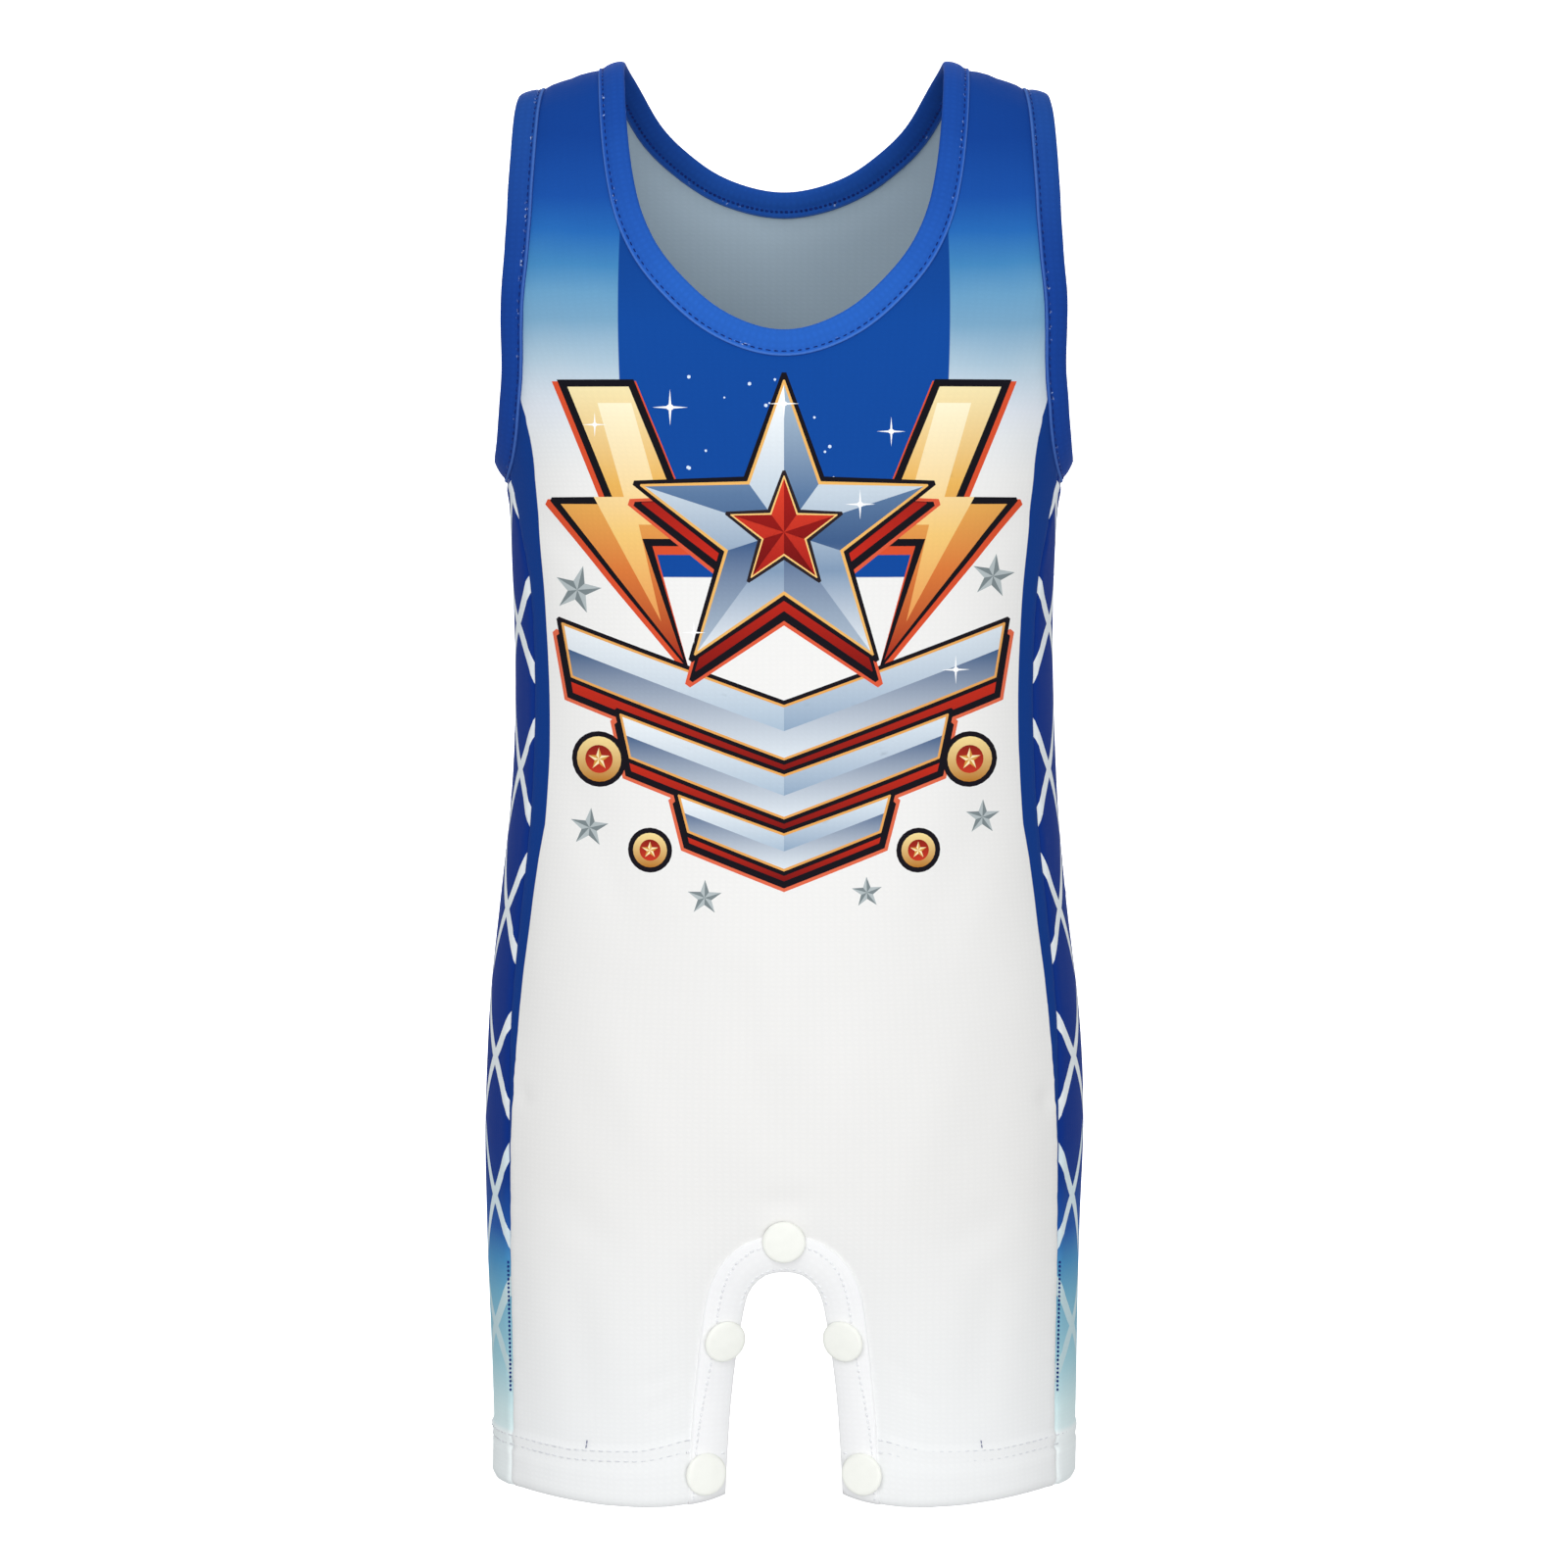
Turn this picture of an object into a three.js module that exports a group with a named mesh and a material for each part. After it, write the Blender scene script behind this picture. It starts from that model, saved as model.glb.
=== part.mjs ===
// Baby wrestling singlet with snapped legs, filled out as if worn and empty inside.
// Millimetres, +Z up. The front faces -Y and the wearer's left is +X.
// The origin is midway between the tops of the two straps.
import * as THREE from 'three';

// Cloth and binding sizes
const CLOTH = 1.3;
const HEM_WALL = 2.5;
const HEM_DEPTH = 16;
const HEM_STEP = 1.5;
const HEM_LEVEL = -421.5;
const SEAM_GAP = 0.3;
const BAND_WIDTH = 8;
const BAND_PROUD = 0.5;
const BAND_WALL = 2.2;
const BAND_FLARE = 2.1;
const PLACKET_WIDTH = 12.5;
const PLACKET_PROUD = 0.2;
const PLACKET_WALL = 1.6;

// Snap sizes
const CAP_RADIUS = 6.3;
const CAP_HEIGHT = 1.8;
const STUD_RADIUS = 3.8;
const STUD_HEIGHT = 1.2;

// Spacing of the mesh points
const ROW_STEP = 12;
const SHOULDER_STEP = 6.5;
const COLUMN_STEP = 9.5;
const MEAN_RADIUS = 72;

// Level sections of the whole form, from the shoulder ridge down to the hems.
// level, half width, half depth, middle of the depth, squareness
const SECTIONS = [
  [0.0, 95.0, 0.0, 0.0, 3.4],
  [-2.3, 95.0, 9.5, 0.0, 3.4],
  [-8.6, 95.0, 18.2, 0.0, 3.4],
  [-19.0, 95.0, 25.8, 0.0, 3.4],
  [-33.0, 95.0, 32.2, 0.0, 3.4],
  [-50.0, 94.6, 37.8, -0.4, 3.3],
  [-71.0, 93.2, 43.0, -1.0, 3.1],
  [-95.0, 89.4, 47.4, -1.8, 2.75],
  [-121.0, 82.9, 50.4, -2.4, 2.35],
  [-150.0, 80.6, 52.6, -2.8, 2.15],
  [-182.0, 79.9, 54.4, -2.8, 2.1],
  [-215.0, 81.3, 56.6, -2.2, 2.1],
  [-249.0, 84.5, 59.0, -1.0, 2.1],
  [-283.0, 88.1, 61.0, 0.6, 2.1],
  [-316.0, 89.7, 61.8, 1.6, 2.15],
  [-347.0, 88.9, 60.2, 1.8, 2.2],
  [-375.0, 87.9, 57.6, 1.6, 2.3],
  [-400.0, 87.4, 55.4, 1.2, 2.35],
  [-421.5, 87.2, 54.2, 1.0, 2.4],
];
const LAST_ROW = SECTIONS.length - 1;

// Shoulder slope: fall of the ridge outside the neck point
const SLOPE = 0.34;
const SLOPE_START = 47;
const SLOPE_FADE = 95;

// Edge of the neck hole, right half, from the centre front over the shoulder to the centre back.
// angle from the centre plane, row of SECTIONS, back rows counted as negative
const NECK_EDGE = [
  [0.0, 6.42],
  [6.0, 6.34],
  [12.9, 6.08],
  [19.5, 5.56],
  [22.6, 5.14],
  [24.8, 4.5],
  [26.3, 3.23],
  [27.0, 1.42],
  [27.0, 0.0],
  [26.2, -1.16],
  [21.9, -2.83],
  [15.9, -3.62],
  [9.75, -4.05],
  [0.0, -4.28],
];

// Edge of the armhole, front half, from its lowest point up to the shoulder ridge.
// angle from the centre plane, row of SECTIONS
const ARM_EDGE = [
  [90.0, 7.86],
  [80.0, 7.83],
  [71.0, 7.64],
  [62.5, 7.26],
  [56.2, 6.72],
  [50.8, 5.6],
  [48.5, 4.7],
  [47.7, 3.9],
  [47.2, 2.9],
  [46.6, 1.6],
  [45.9, 0.5],
  [45.7, 0.0],
];

// Front edge of the side panel.
// row of SECTIONS, angle from the centre plane
const SIDE_FRONT = [
  [7.6, 77.0],
  [8.1, 74.0],
  [8.64, 70.7],
  [9.09, 67.3],
  [10.03, 65.7],
  [11.15, 64.8],
  [12.31, 65.6],
  [13.0, 65.3],
  [13.6, 63.7],
  [14.23, 63.1],
  [15.15, 63.4],
  [16.49, 62.8],
  [18.0, 62.8],
];
const SIDE_BACK_ANGLE = 96;

// Edge of the arch between the legs as seen from the front, right half, from the middle down.
// across, level
const ARCH_EDGE = [
  [0.0, -354.0],
  [4.4, -354.6],
  [7.8, -356.9],
  [10.1, -360.2],
  [11.5, -365.0],
  [12.9, -373.0],
  [14.3, -382.5],
  [15.5, -393.5],
  [16.4, -406.5],
  [17.1, -421.5],
];

// How far the cloth turns back beside the arch, and over what width
const ROLL_TOP = 2.6;
const ROLL_LEG = 11;
const ROLL_WIDTH = 12;
const SEAT_ROLL = 6;
const SEAT_WIDTH = 14;

// Snaps as seen from the front: across, level
const SNAPS = {
  middle: [0, -344.3],
  left_upper: [17.6, -374.4],
  right_upper: [-17.6, -374.4],
  left_lower: [23.2, -414.2],
  right_lower: [-23.2, -414.2],
};

const rad = (degrees) => (degrees * Math.PI) / 180;
const clamp = (value, low, high) => Math.min(high, Math.max(low, value));
const mix = (a, b, t) => a + (b - a) * t;
const smooth = (t) => t * t * (3 - 2 * t);

// Smooth curve through four rows of numbers, between the second and the third
function between(before, a, b, after, t) {
  return a.map((value, k) => {
    const c1 = b[k] - before[k];
    const c2 = 2 * before[k] - 5 * value + 4 * b[k] - after[k];
    const c3 = 3 * value - before[k] - 3 * b[k] + after[k];
    return 0.5 * (2 * value + c1 * t + c2 * t * t + c3 * t * t * t);
  });
}

// Section at any row; rows above the ridge mirror those of the front
function section(row) {
  const depth = Math.abs(row);
  const first = Math.min(Math.floor(depth), LAST_ROW - 1);
  const mirror = SECTIONS[1].map((value, k) => (k === 2 ? -value : value));
  const beyond = SECTIONS[LAST_ROW].map((value, k) => 2 * value - SECTIONS[LAST_ROW - 1][k]);
  const before = first > 0 ? SECTIONS[first - 1] : mirror;
  const after = first + 2 <= LAST_ROW ? SECTIONS[first + 2] : beyond;
  const found = between(before, SECTIONS[first], SECTIONS[first + 1], after, depth - first);
  if (row < 0) {
    found[2] = -found[2];
  }
  return found;
}

// Smooth line through the rows of a table, with evenly numbered points
function smoothLine(table, count) {
  const last = table.length - 1;
  const found = [];
  for (let i = 0; i <= count; i += 1) {
    const place = (i / count) * last;
    const first = Math.min(Math.floor(place), last - 1);
    const start = table[first];
    const end = table[first + 1];
    const before = first > 0 ? table[first - 1] : start.map((value, k) => 2 * value - end[k]);
    const after = first + 2 <= last ? table[first + 2] : end.map((value, k) => 2 * value - start[k]);
    found.push(between(before, start, end, after, place - first));
  }
  return found;
}

// Same line with its points evenly spaced, measured by a given distance
function evenLine(line, step, distance) {
  const lengths = [0];
  for (let i = 1; i < line.length; i += 1) {
    lengths.push(lengths[i - 1] + distance(line[i - 1], line[i]));
  }
  const total = lengths[lengths.length - 1];
  const count = Math.round(total / step);
  const found = [];
  let k = 0;
  for (let i = 0; i <= count; i += 1) {
    const target = (i / count) * total;
    while (k < line.length - 2 && lengths[k + 1] < target) {
      k += 1;
    }
    const t = clamp((target - lengths[k]) / (lengths[k + 1] - lengths[k]), 0, 1);
    found.push(line[k].map((value, j) => mix(value, line[k + 1][j], t)));
  }
  return found;
}

// Edge of the arch with even points, right half and whole
const flatDistance = (a, b) => Math.hypot(a[0] - b[0], a[1] - b[1]);
const ARCH_GHOST = [[-ARCH_EDGE[1][0], ARCH_EDGE[1][1]], ...ARCH_EDGE];
const ARCH_HALF = evenLine(smoothLine(ARCH_GHOST, 400).slice(40), 5.4, flatDistance);
ARCH_HALF[0] = [0, ARCH_EDGE[0][1]];
const ARCH = [...ARCH_HALF.slice(1).reverse().map(([x, z]) => [-x, z]), ...ARCH_HALF];

// Distance from the arch edge as seen from the front, negative inside the gap
function archDistance(x, z) {
  let best = Infinity;
  let side = 1;
  for (let i = 1; i < ARCH_HALF.length; i += 1) {
    const [ax, az] = ARCH_HALF[i - 1];
    const dx = ARCH_HALF[i][0] - ax;
    const dz = ARCH_HALF[i][1] - az;
    const qx = Math.abs(x) - ax;
    const qz = z - az;
    const t = clamp((qx * dx + qz * dz) / (dx * dx + dz * dz), 0, 1);
    const gap = Math.hypot(qx - t * dx, qz - t * dz);
    if (gap < best) {
      best = gap;
      side = dx * qz - dz * qx < 0 ? -1 : 1;
    }
  }
  return best * side;
}

// Outside face of the cloth at an angle from the centre plane and a row of SECTIONS.
// Beyond 90 degrees, or with a negative row, the point is on the back.
function skin([angle, row]) {
  const [level, width, depth, middle, squareness] = section(row);
  const across = Math.sin(rad(angle));
  const ahead = Math.cos(rad(angle));
  const power = Math.abs(across) ** squareness + Math.abs(ahead) ** squareness;
  const reach = power ** (-1 / squareness);
  const x = width * reach * across;
  let y = middle - depth * reach * ahead;
  const fade = smooth(clamp(1 + level / SLOPE_FADE, 0, 1));
  const z = level - SLOPE * 3 * Math.log1p(Math.exp((Math.abs(x) - SLOPE_START) / 3)) * fade;
  if (level < -300) {
    const gap = archDistance(x, z);
    if (ahead > 0) {
      const turn = mix(ROLL_TOP, ROLL_LEG, smooth(clamp((-338 - level) / 52, 0, 1)));
      y += turn * Math.exp(-Math.max(gap, -8) / ROLL_WIDTH) * ahead * ahead;
    } else {
      const turn = SEAT_ROLL * smooth(clamp((-310 - level) / 50, 0, 1));
      y -= turn * Math.exp(-Math.max(gap - SEAT_WIDTH, 0) / SEAT_WIDTH) * ahead * ahead;
    }
  }
  return new THREE.Vector3(x, y, z);
}

function tangents([angle, row]) {
  const turn = skin([angle + 0.02, row]).sub(skin([angle - 0.02, row])).divideScalar(0.04);
  const down = skin([angle, row + 0.002]).sub(skin([angle, row - 0.002])).divideScalar(0.004);
  return [turn, down];
}

function normal(place) {
  const inside = [place[0], clamp(place[1], 0.004 - LAST_ROW, LAST_ROW - 0.004)];
  const [turn, down] = tangents(inside);
  return down.cross(turn).normalize();
}

// Place reached by going a distance along the cloth in a given direction
function walk(place, direction, distance) {
  const heading = direction.clone();
  let [angle, row] = place;
  const steps = Math.max(1, Math.ceil(distance / 1.5));
  for (let i = 0; i < steps; i += 1) {
    const edge = clamp(row, 0.004 - LAST_ROW, LAST_ROW - 0.004);
    const [turn, down] = tangents([angle, edge]);
    const out = down.clone().cross(turn).normalize();
    heading.addScaledVector(out, -heading.dot(out)).normalize();
    const move = heading.clone().multiplyScalar(distance / steps);
    const tt = turn.dot(turn);
    const td = turn.dot(down);
    const dd = down.dot(down);
    const whole = tt * dd - td * td;
    angle += (dd * turn.dot(move) - td * down.dot(move)) / whole;
    row += (tt * down.dot(move) - td * turn.dot(move)) / whole;
  }
  return [angle, clamp(row, -LAST_ROW, LAST_ROW)];
}

// Line moved sideways along the cloth, away from the hole that it edges
function besideLine(line, distance, side, closed) {
  const last = line.length - 1;
  return line.map((place, i) => {
    const next = closed ? line[(i + 1) % line.length] : line[Math.min(i + 1, last)];
    const previous = closed ? line[(i + last) % line.length] : line[Math.max(i - 1, 0)];
    const along = skin(next).sub(skin(previous));
    if (!closed && (i === 0 || i === last)) {
      along.set(0, 0, along.z);
    }
    const sideways = along.cross(normal(place)).multiplyScalar(side).normalize();
    return walk(place, sideways, distance);
  });
}

// Place on the front or the back that is seen straight on at x, z
function locate(x, z, back) {
  const fallAt = (level) => {
    const fade = smooth(clamp(1 + level / SLOPE_FADE, 0, 1));
    return SLOPE * 3 * Math.log1p(Math.exp((Math.abs(x) - SLOPE_START) / 3)) * fade;
  };
  let low = 0;
  let high = LAST_ROW;
  for (let i = 0; i < 40; i += 1) {
    const trial = (low + high) / 2;
    const level = section(trial)[0];
    if (level - fallAt(level) > z) {
      low = trial;
    } else {
      high = trial;
    }
  }
  const row = (low + high) / 2;
  const [, width, , , squareness] = section(row);
  const across = clamp(Math.abs(x) / width, 0, 1);
  const ahead = (1 - across ** squareness) ** (1 / squareness);
  const angle = (Math.atan2(across, ahead) * 180) / Math.PI;
  return [back ? 180 - Math.sign(x) * angle : Math.sign(x) * angle, row];
}

// Distance down the cloth from the ridge to each row
const ROW_LENGTHS = [0];
for (let i = 1; i <= LAST_ROW * 20; i += 1) {
  const a = section((i - 1) / 20);
  const b = section(i / 20);
  ROW_LENGTHS.push(ROW_LENGTHS[i - 1] + Math.hypot(a[0] - b[0], a[2] - b[2]));
}

function rowLength(row) {
  const place = clamp(Math.abs(row) * 20, 0, LAST_ROW * 20);
  const first = Math.min(Math.floor(place), LAST_ROW * 20 - 1);
  return mix(ROW_LENGTHS[first], ROW_LENGTHS[first + 1], place - first);
}

function rowAt(test) {
  let low = 0;
  let high = LAST_ROW;
  for (let i = 0; i < 40; i += 1) {
    const trial = (low + high) / 2;
    if (test(trial)) {
      high = trial;
    } else {
      low = trial;
    }
  }
  return (low + high) / 2;
}

// Rows on which the panels have their points, with two close rows where the hem begins
const HEM_ROWS = [0, HEM_STEP].map((extra) =>
  rowAt((row) => section(row)[0] < HEM_LEVEL + HEM_DEPTH - extra));
const ROWS = [];
for (let length = 0; length < rowLength(HEM_ROWS[0]) - 5;) {
  const target = length;
  ROWS.push(rowAt((row) => rowLength(row) >= target));
  length += length < 60 ? SHOULDER_STEP : ROW_STEP;
}
ROWS.push(...HEM_ROWS, (HEM_ROWS[1] + LAST_ROW) / 2);

// Solid of a closed set of faces
function solid(points, faces, name, colour, roughness, metalness) {
  const geometry = new THREE.BufferGeometry();
  const flat = points.flatMap((point) => [point.x, point.y, point.z]);
  geometry.setAttribute('position', new THREE.Float32BufferAttribute(flat, 3));
  geometry.setIndex(faces.flat());
  geometry.computeVertexNormals();
  const material = new THREE.MeshStandardMaterial({ color: colour, roughness, metalness });
  const mesh = new THREE.Mesh(geometry, material);
  mesh.name = name;
  return mesh;
}

// Wall from the outside points of a sheet: inside copies and a rim round every free edge
function wall(points, normals, faces) {
  const count = points.length;
  const inner = points.map((point, i) => {
    const turned = clamp((HEM_LEVEL + HEM_DEPTH - point.z) / HEM_STEP, 0, 1);
    return point.clone().addScaledVector(normals[i], -mix(CLOTH, HEM_WALL, turned));
  });
  const edges = new Map();
  faces.forEach(([a, b, c]) => {
    [[a, b], [b, c], [c, a]].forEach(([from, to]) => edges.set(`${from}_${to}`, [from, to]));
  });
  const all = faces.map((face) => [...face]);
  faces.forEach(([a, b, c]) => all.push([a + count, c + count, b + count]));
  edges.forEach(([from, to]) => {
    if (!edges.has(`${to}_${from}`)) {
      all.push([to, from, from + count], [to, from + count, to + count]);
    }
  });
  return [[...points, ...inner], all];
}

function meshNormals(points, faces) {
  const found = points.map(() => new THREE.Vector3());
  faces.forEach(([a, b, c]) => {
    const ab = points[b].clone().sub(points[a]);
    const ac = points[c].clone().sub(points[a]);
    const area = ab.cross(ac);
    [a, b, c].forEach((k) => found[k].add(area));
  });
  return found.map((direction) => direction.normalize());
}

// Flat picture of the cloth in which the panels are divided into triangles
const onPlane = ([angle, row]) => [rad(angle) * MEAN_RADIUS, rowLength(row) * 0.85];

function insideOutline(point, outline) {
  let inside = false;
  outline.forEach(([bx, by], i) => {
    const [ax, ay] = outline[(i + outline.length - 1) % outline.length];
    if (ay > point[1] !== by > point[1] && point[0] < ((ax - bx) * (point[1] - by)) / (ay - by) + bx) {
      inside = !inside;
    }
  });
  return inside;
}

// Even triangles between scattered points
function triangulate(points) {
  const count = points.length;
  const all = [...points, [-9000, -9000], [9000, -9000], [0, 9000]];
  const circle = (a, b, c) => {
    const [ax, ay] = all[a];
    const bx = all[b][0] - ax;
    const by = all[b][1] - ay;
    const cx = all[c][0] - ax;
    const cy = all[c][1] - ay;
    const d = 2 * (bx * cy - by * cx);
    const ux = (cy * (bx * bx + by * by) - by * (cx * cx + cy * cy)) / d;
    const uy = (bx * (cx * cx + cy * cy) - cx * (bx * bx + by * by)) / d;
    return { corners: [a, b, c], x: ux + ax, y: uy + ay, r: ux * ux + uy * uy };
  };
  let found = [circle(count, count + 1, count + 2)];
  for (let i = 0; i < count; i += 1) {
    const [x, y] = all[i];
    const rim = new Map();
    const kept = [];
    found.forEach((item) => {
      if ((item.x - x) ** 2 + (item.y - y) ** 2 < item.r) {
        const [a, b, c] = item.corners;
        [[a, b], [b, c], [c, a]].forEach(([from, to]) => {
          if (rim.has(`${to}_${from}`)) {
            rim.delete(`${to}_${from}`);
          } else {
            rim.set(`${from}_${to}`, [from, to]);
          }
        });
      } else {
        kept.push(item);
      }
    });
    rim.forEach(([from, to]) => kept.push(circle(from, to, i)));
    found = kept;
  }
  return found.map((item) => item.corners).filter((corners) => corners.every((k) => k < count));
}

// Points and faces of the cloth inside an outline of places
function sheet(outline) {
  const plane = outline.map(onPlane);
  const places = [...outline];
  const flat = plane.map(([x, y], i) => [x + 1e-4 * Math.sin(i * 7.1), y + 1e-4 * Math.cos(i * 3.7)]);
  ROWS.forEach((row, line) => {
    const y = onPlane([0, row])[1];
    const half = Math.ceil(400 / COLUMN_STEP);
    for (let i = -half; i <= half; i += 1) {
      const centre = outline.reduce((sum, place) => sum + place[0], 0) / outline.length;
      const middle = centre > 90 ? Math.PI * MEAN_RADIUS : 0;
      const shift = line % 2 ? 0.5 : 0;
      const x = middle + (i + shift) * COLUMN_STEP;
      const clear = plane.every(([px, py]) => Math.hypot(px - x, py - y) > 0.55 * COLUMN_STEP);
      if (clear && insideOutline([x, y], plane)) {
        places.push([(x / MEAN_RADIUS) * (180 / Math.PI), row]);
        flat.push([x, y]);
      }
    }
  });
  const faces = triangulate(flat).filter((corners) => {
    const x = corners.reduce((sum, k) => sum + flat[k][0], 0) / 3;
    const y = corners.reduce((sum, k) => sum + flat[k][1], 0) / 3;
    return insideOutline([x, y], plane);
  }).map(([a, b, c]) => {
    const bx = flat[b][0] - flat[a][0];
    const by = flat[b][1] - flat[a][1];
    const turn = bx * (flat[c][1] - flat[a][1]) - by * (flat[c][0] - flat[a][0]);
    return turn > 0 ? [a, c, b] : [a, b, c];
  });
  return { places, faces, points: places.map(skin), normals: places.map(normal) };
}

// Strip laid over lines of places, its two long edges rounded
function strip(lines, top, thickness, closed, lift, name, colour) {
  const last = lines.length - 1;
  const shape = lines.map((_, k) => [k, k === 0 || k === last ? -0.5 : 0]);
  for (let k = last - 1; k > 0; k -= 1) {
    shape.push([k, -1]);
  }
  const points = [];
  lines[0].forEach((_, i) => {
    shape.forEach(([k, deep]) => {
      const place = lines[k][i];
      const height = top + deep * thickness + lift(place, k / last);
      points.push(skin(place).addScaledVector(normal(place), height));
    });
  });
  const sides = shape.length;
  const total = lines[0].length;
  const faces = [];
  for (let i = 0; i < (closed ? total : total - 1); i += 1) {
    for (let k = 0; k < sides; k += 1) {
      const a = i * sides + k;
      const b = i * sides + ((k + 1) % sides);
      const c = ((i + 1) % total) * sides + k;
      const d = ((i + 1) % total) * sides + ((k + 1) % sides);
      faces.push([a, b, d], [a, d, c]);
    }
  }
  if (!closed) {
    const end = (total - 1) * sides;
    for (let k = 1; k < sides - 1; k += 1) {
      faces.push([0, k + 1, k], [end, end + k, end + k + 1]);
    }
  }
  const middle = points.slice(0, sides).reduce((sum, point) => sum.add(point), new THREE.Vector3());
  middle.divideScalar(sides);
  const [a, b, c] = faces[2];
  const facing = points[b].clone().sub(points[a]).cross(points[c].clone().sub(points[a]));
  if (facing.dot(points[a].clone().sub(middle)) < 0) {
    faces.forEach((face) => face.reverse());
  }
  return solid(points, faces, name, colour, 0.75, 0);
}

// Round button from rows of radius and height, standing on a point along a direction
function button(profile, segments, base, direction, name, colour, roughness) {
  const turn = new THREE.Quaternion().setFromUnitVectors(new THREE.Vector3(0, 0, 1), direction);
  const points = [];
  profile.forEach(([radius, height]) => {
    for (let i = 0; i < segments; i += 1) {
      const angle = (2 * Math.PI * i) / segments;
      points.push(new THREE.Vector3(radius * Math.cos(angle), radius * Math.sin(angle), height));
    }
  });
  const low = points.push(new THREE.Vector3(0, 0, profile[0][1])) - 1;
  const high = points.push(new THREE.Vector3(0, 0, profile[profile.length - 1][1])) - 1;
  const faces = [];
  for (let i = 0; i < segments; i += 1) {
    const next = (i + 1) % segments;
    const rim = (profile.length - 1) * segments;
    faces.push([low, next, i], [high, rim + i, rim + next]);
    for (let k = 0; k < profile.length - 1; k += 1) {
      const a = k * segments;
      faces.push([a + i, a + next, a + segments + next], [a + i, a + segments + next, a + segments + i]);
    }
  }
  const placed = points.map((point) => point.applyQuaternion(turn).add(base));
  return solid(placed, faces, name, colour, roughness, 0);
}

const clothDistance = (a, b) => skin(a).distanceTo(skin(b));
const mirrorPlace = ([angle, row]) => [-angle, row];
const toBack = ([angle, row]) => (row < 0 ? [180 - angle, -row] : [angle, row]);

// Ring round the neck hole
const neckGhosts = [mirrorPlace(NECK_EDGE[1]), ...NECK_EDGE, mirrorPlace(NECK_EDGE[NECK_EDGE.length - 2])];
const neckFine = smoothLine(neckGhosts, (neckGhosts.length - 1) * 40).slice(40, -40);
const neckHalf = evenLine(neckFine, 6, clothDistance);
const neckRing = [...neckHalf, ...neckHalf.slice(1, -1).reverse().map(mirrorPlace)];
const neckOuter = besideLine(neckRing, BAND_WIDTH, 1, true);
const neckPanel = besideLine(neckRing, BAND_WIDTH + SEAM_GAP, 1, true).slice(0, neckHalf.length);

// Ring round the left armhole, bottom up the front and down the back
const [bottomAngle, bottomRow] = ARM_EDGE[1];
const lastArm = ARM_EDGE[ARM_EDGE.length - 2];
const armGhosts = [[180 - bottomAngle, bottomRow], ...ARM_EDGE, [lastArm[0], -lastArm[1]]];
const armFine = smoothLine(armGhosts, (armGhosts.length - 1) * 40).slice(40, -40);
const armHalf = evenLine(armFine, 6, clothDistance);
const armFull = [...armHalf, ...armHalf.slice(0, -1).reverse().map(([angle, row]) => [angle, -row])];
const armRing = armFull.slice(0, -1);
const armBeside = (distance) => {
  const last = armFull.length - 1;
  const wrapped = [[180 - armFull[1][0], armFull[1][1]], ...armFull];
  wrapped.push([180 - armFull[last - 1][0], armFull[last - 1][1]]);
  return besideLine(wrapped, distance, -1, false).slice(1, -1);
};
const armOuter = armBeside(BAND_WIDTH).slice(0, -1);
const armPanel = armBeside(BAND_WIDTH + SEAM_GAP);

// Angle of the front seam of the side panel at a row
function seamAngle(row) {
  const last = SIDE_FRONT.length - 1;
  let first = 0;
  while (first < last - 1 && SIDE_FRONT[first + 1][0] < row) {
    first += 1;
  }
  const start = SIDE_FRONT[first];
  const end = SIDE_FRONT[first + 1];
  const before = SIDE_FRONT[Math.max(first - 1, 0)];
  const after = SIDE_FRONT[Math.min(first + 2, last)];
  const span = end[0] - start[0];
  const t = (row - start[0]) / span;
  const slopeIn = first > 0 ? ((end[1] - before[1]) / (end[0] - before[0])) * span : end[1] - start[1];
  const slopeOut = first + 2 <= last ? ((after[1] - start[1]) / (after[0] - start[0])) * span
    : end[1] - start[1];
  const t2 = t * t;
  const t3 = t2 * t;
  return (2 * t3 - 3 * t2 + 1) * start[1] + (t3 - 2 * t2 + t) * slopeIn
    + (3 * t2 - 2 * t3) * end[1] + (t3 - t2) * slopeOut;
}

// Seam line one half gap to either side, on the rows below a start row
function seamRows(angleAt, startRow, shift) {
  return ROWS.concat(LAST_ROW).filter((row) => row > startRow + 0.12).map((row) => {
    const angle = angleAt(row);
    const [turn] = tangents([angle, clamp(row, 0, LAST_ROW - 0.01)]);
    return [angle + shift / turn.length(), row];
  });
}

// Where the armhole edge of the panels meets a seam
function crossing(line, angleAt, shift) {
  for (let i = 1; i < line.length; i += 1) {
    const gapAt = ([angle, row]) => angle - angleAt(row) - shift / tangents([angle, row])[0].length();
    const before = gapAt(line[i - 1]);
    const after = gapAt(line[i]);
    if (before <= 0 !== after <= 0) {
      const t = before / (before - after);
      return { index: i, place: line[i].map((value, k) => mix(line[i - 1][k], value, t)) };
    }
  }
  return null;
}

// Part of a line on one side of the shoulder ridge, ending at the shoulder seam
function clipAtRidge(line, front) {
  const limit = front ? SEAM_GAP / 2 / 9.6 : -SEAM_GAP / 2 / 9.6;
  const kept = [];
  line.forEach((place, i) => {
    const inside = front ? place[1] >= limit : place[1] <= limit;
    if (i > 0) {
      const previous = line[i - 1];
      const wasInside = front ? previous[1] >= limit : previous[1] <= limit;
      if (inside !== wasInside) {
        const t = (limit - previous[1]) / (place[1] - previous[1]);
        kept.push([mix(previous[0], place[0], t), limit]);
      }
    }
    const close = Math.abs(place[1] - limit) < 0.2;
    if (inside && !close) {
      kept.push(place);
    }
  });
  return kept;
}

function joinLine(a, b, count) {
  return Array.from({ length: count - 1 }, (_, i) => a.map((value, k) => mix(value, b[k], (i + 1) / count)));
}

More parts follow.
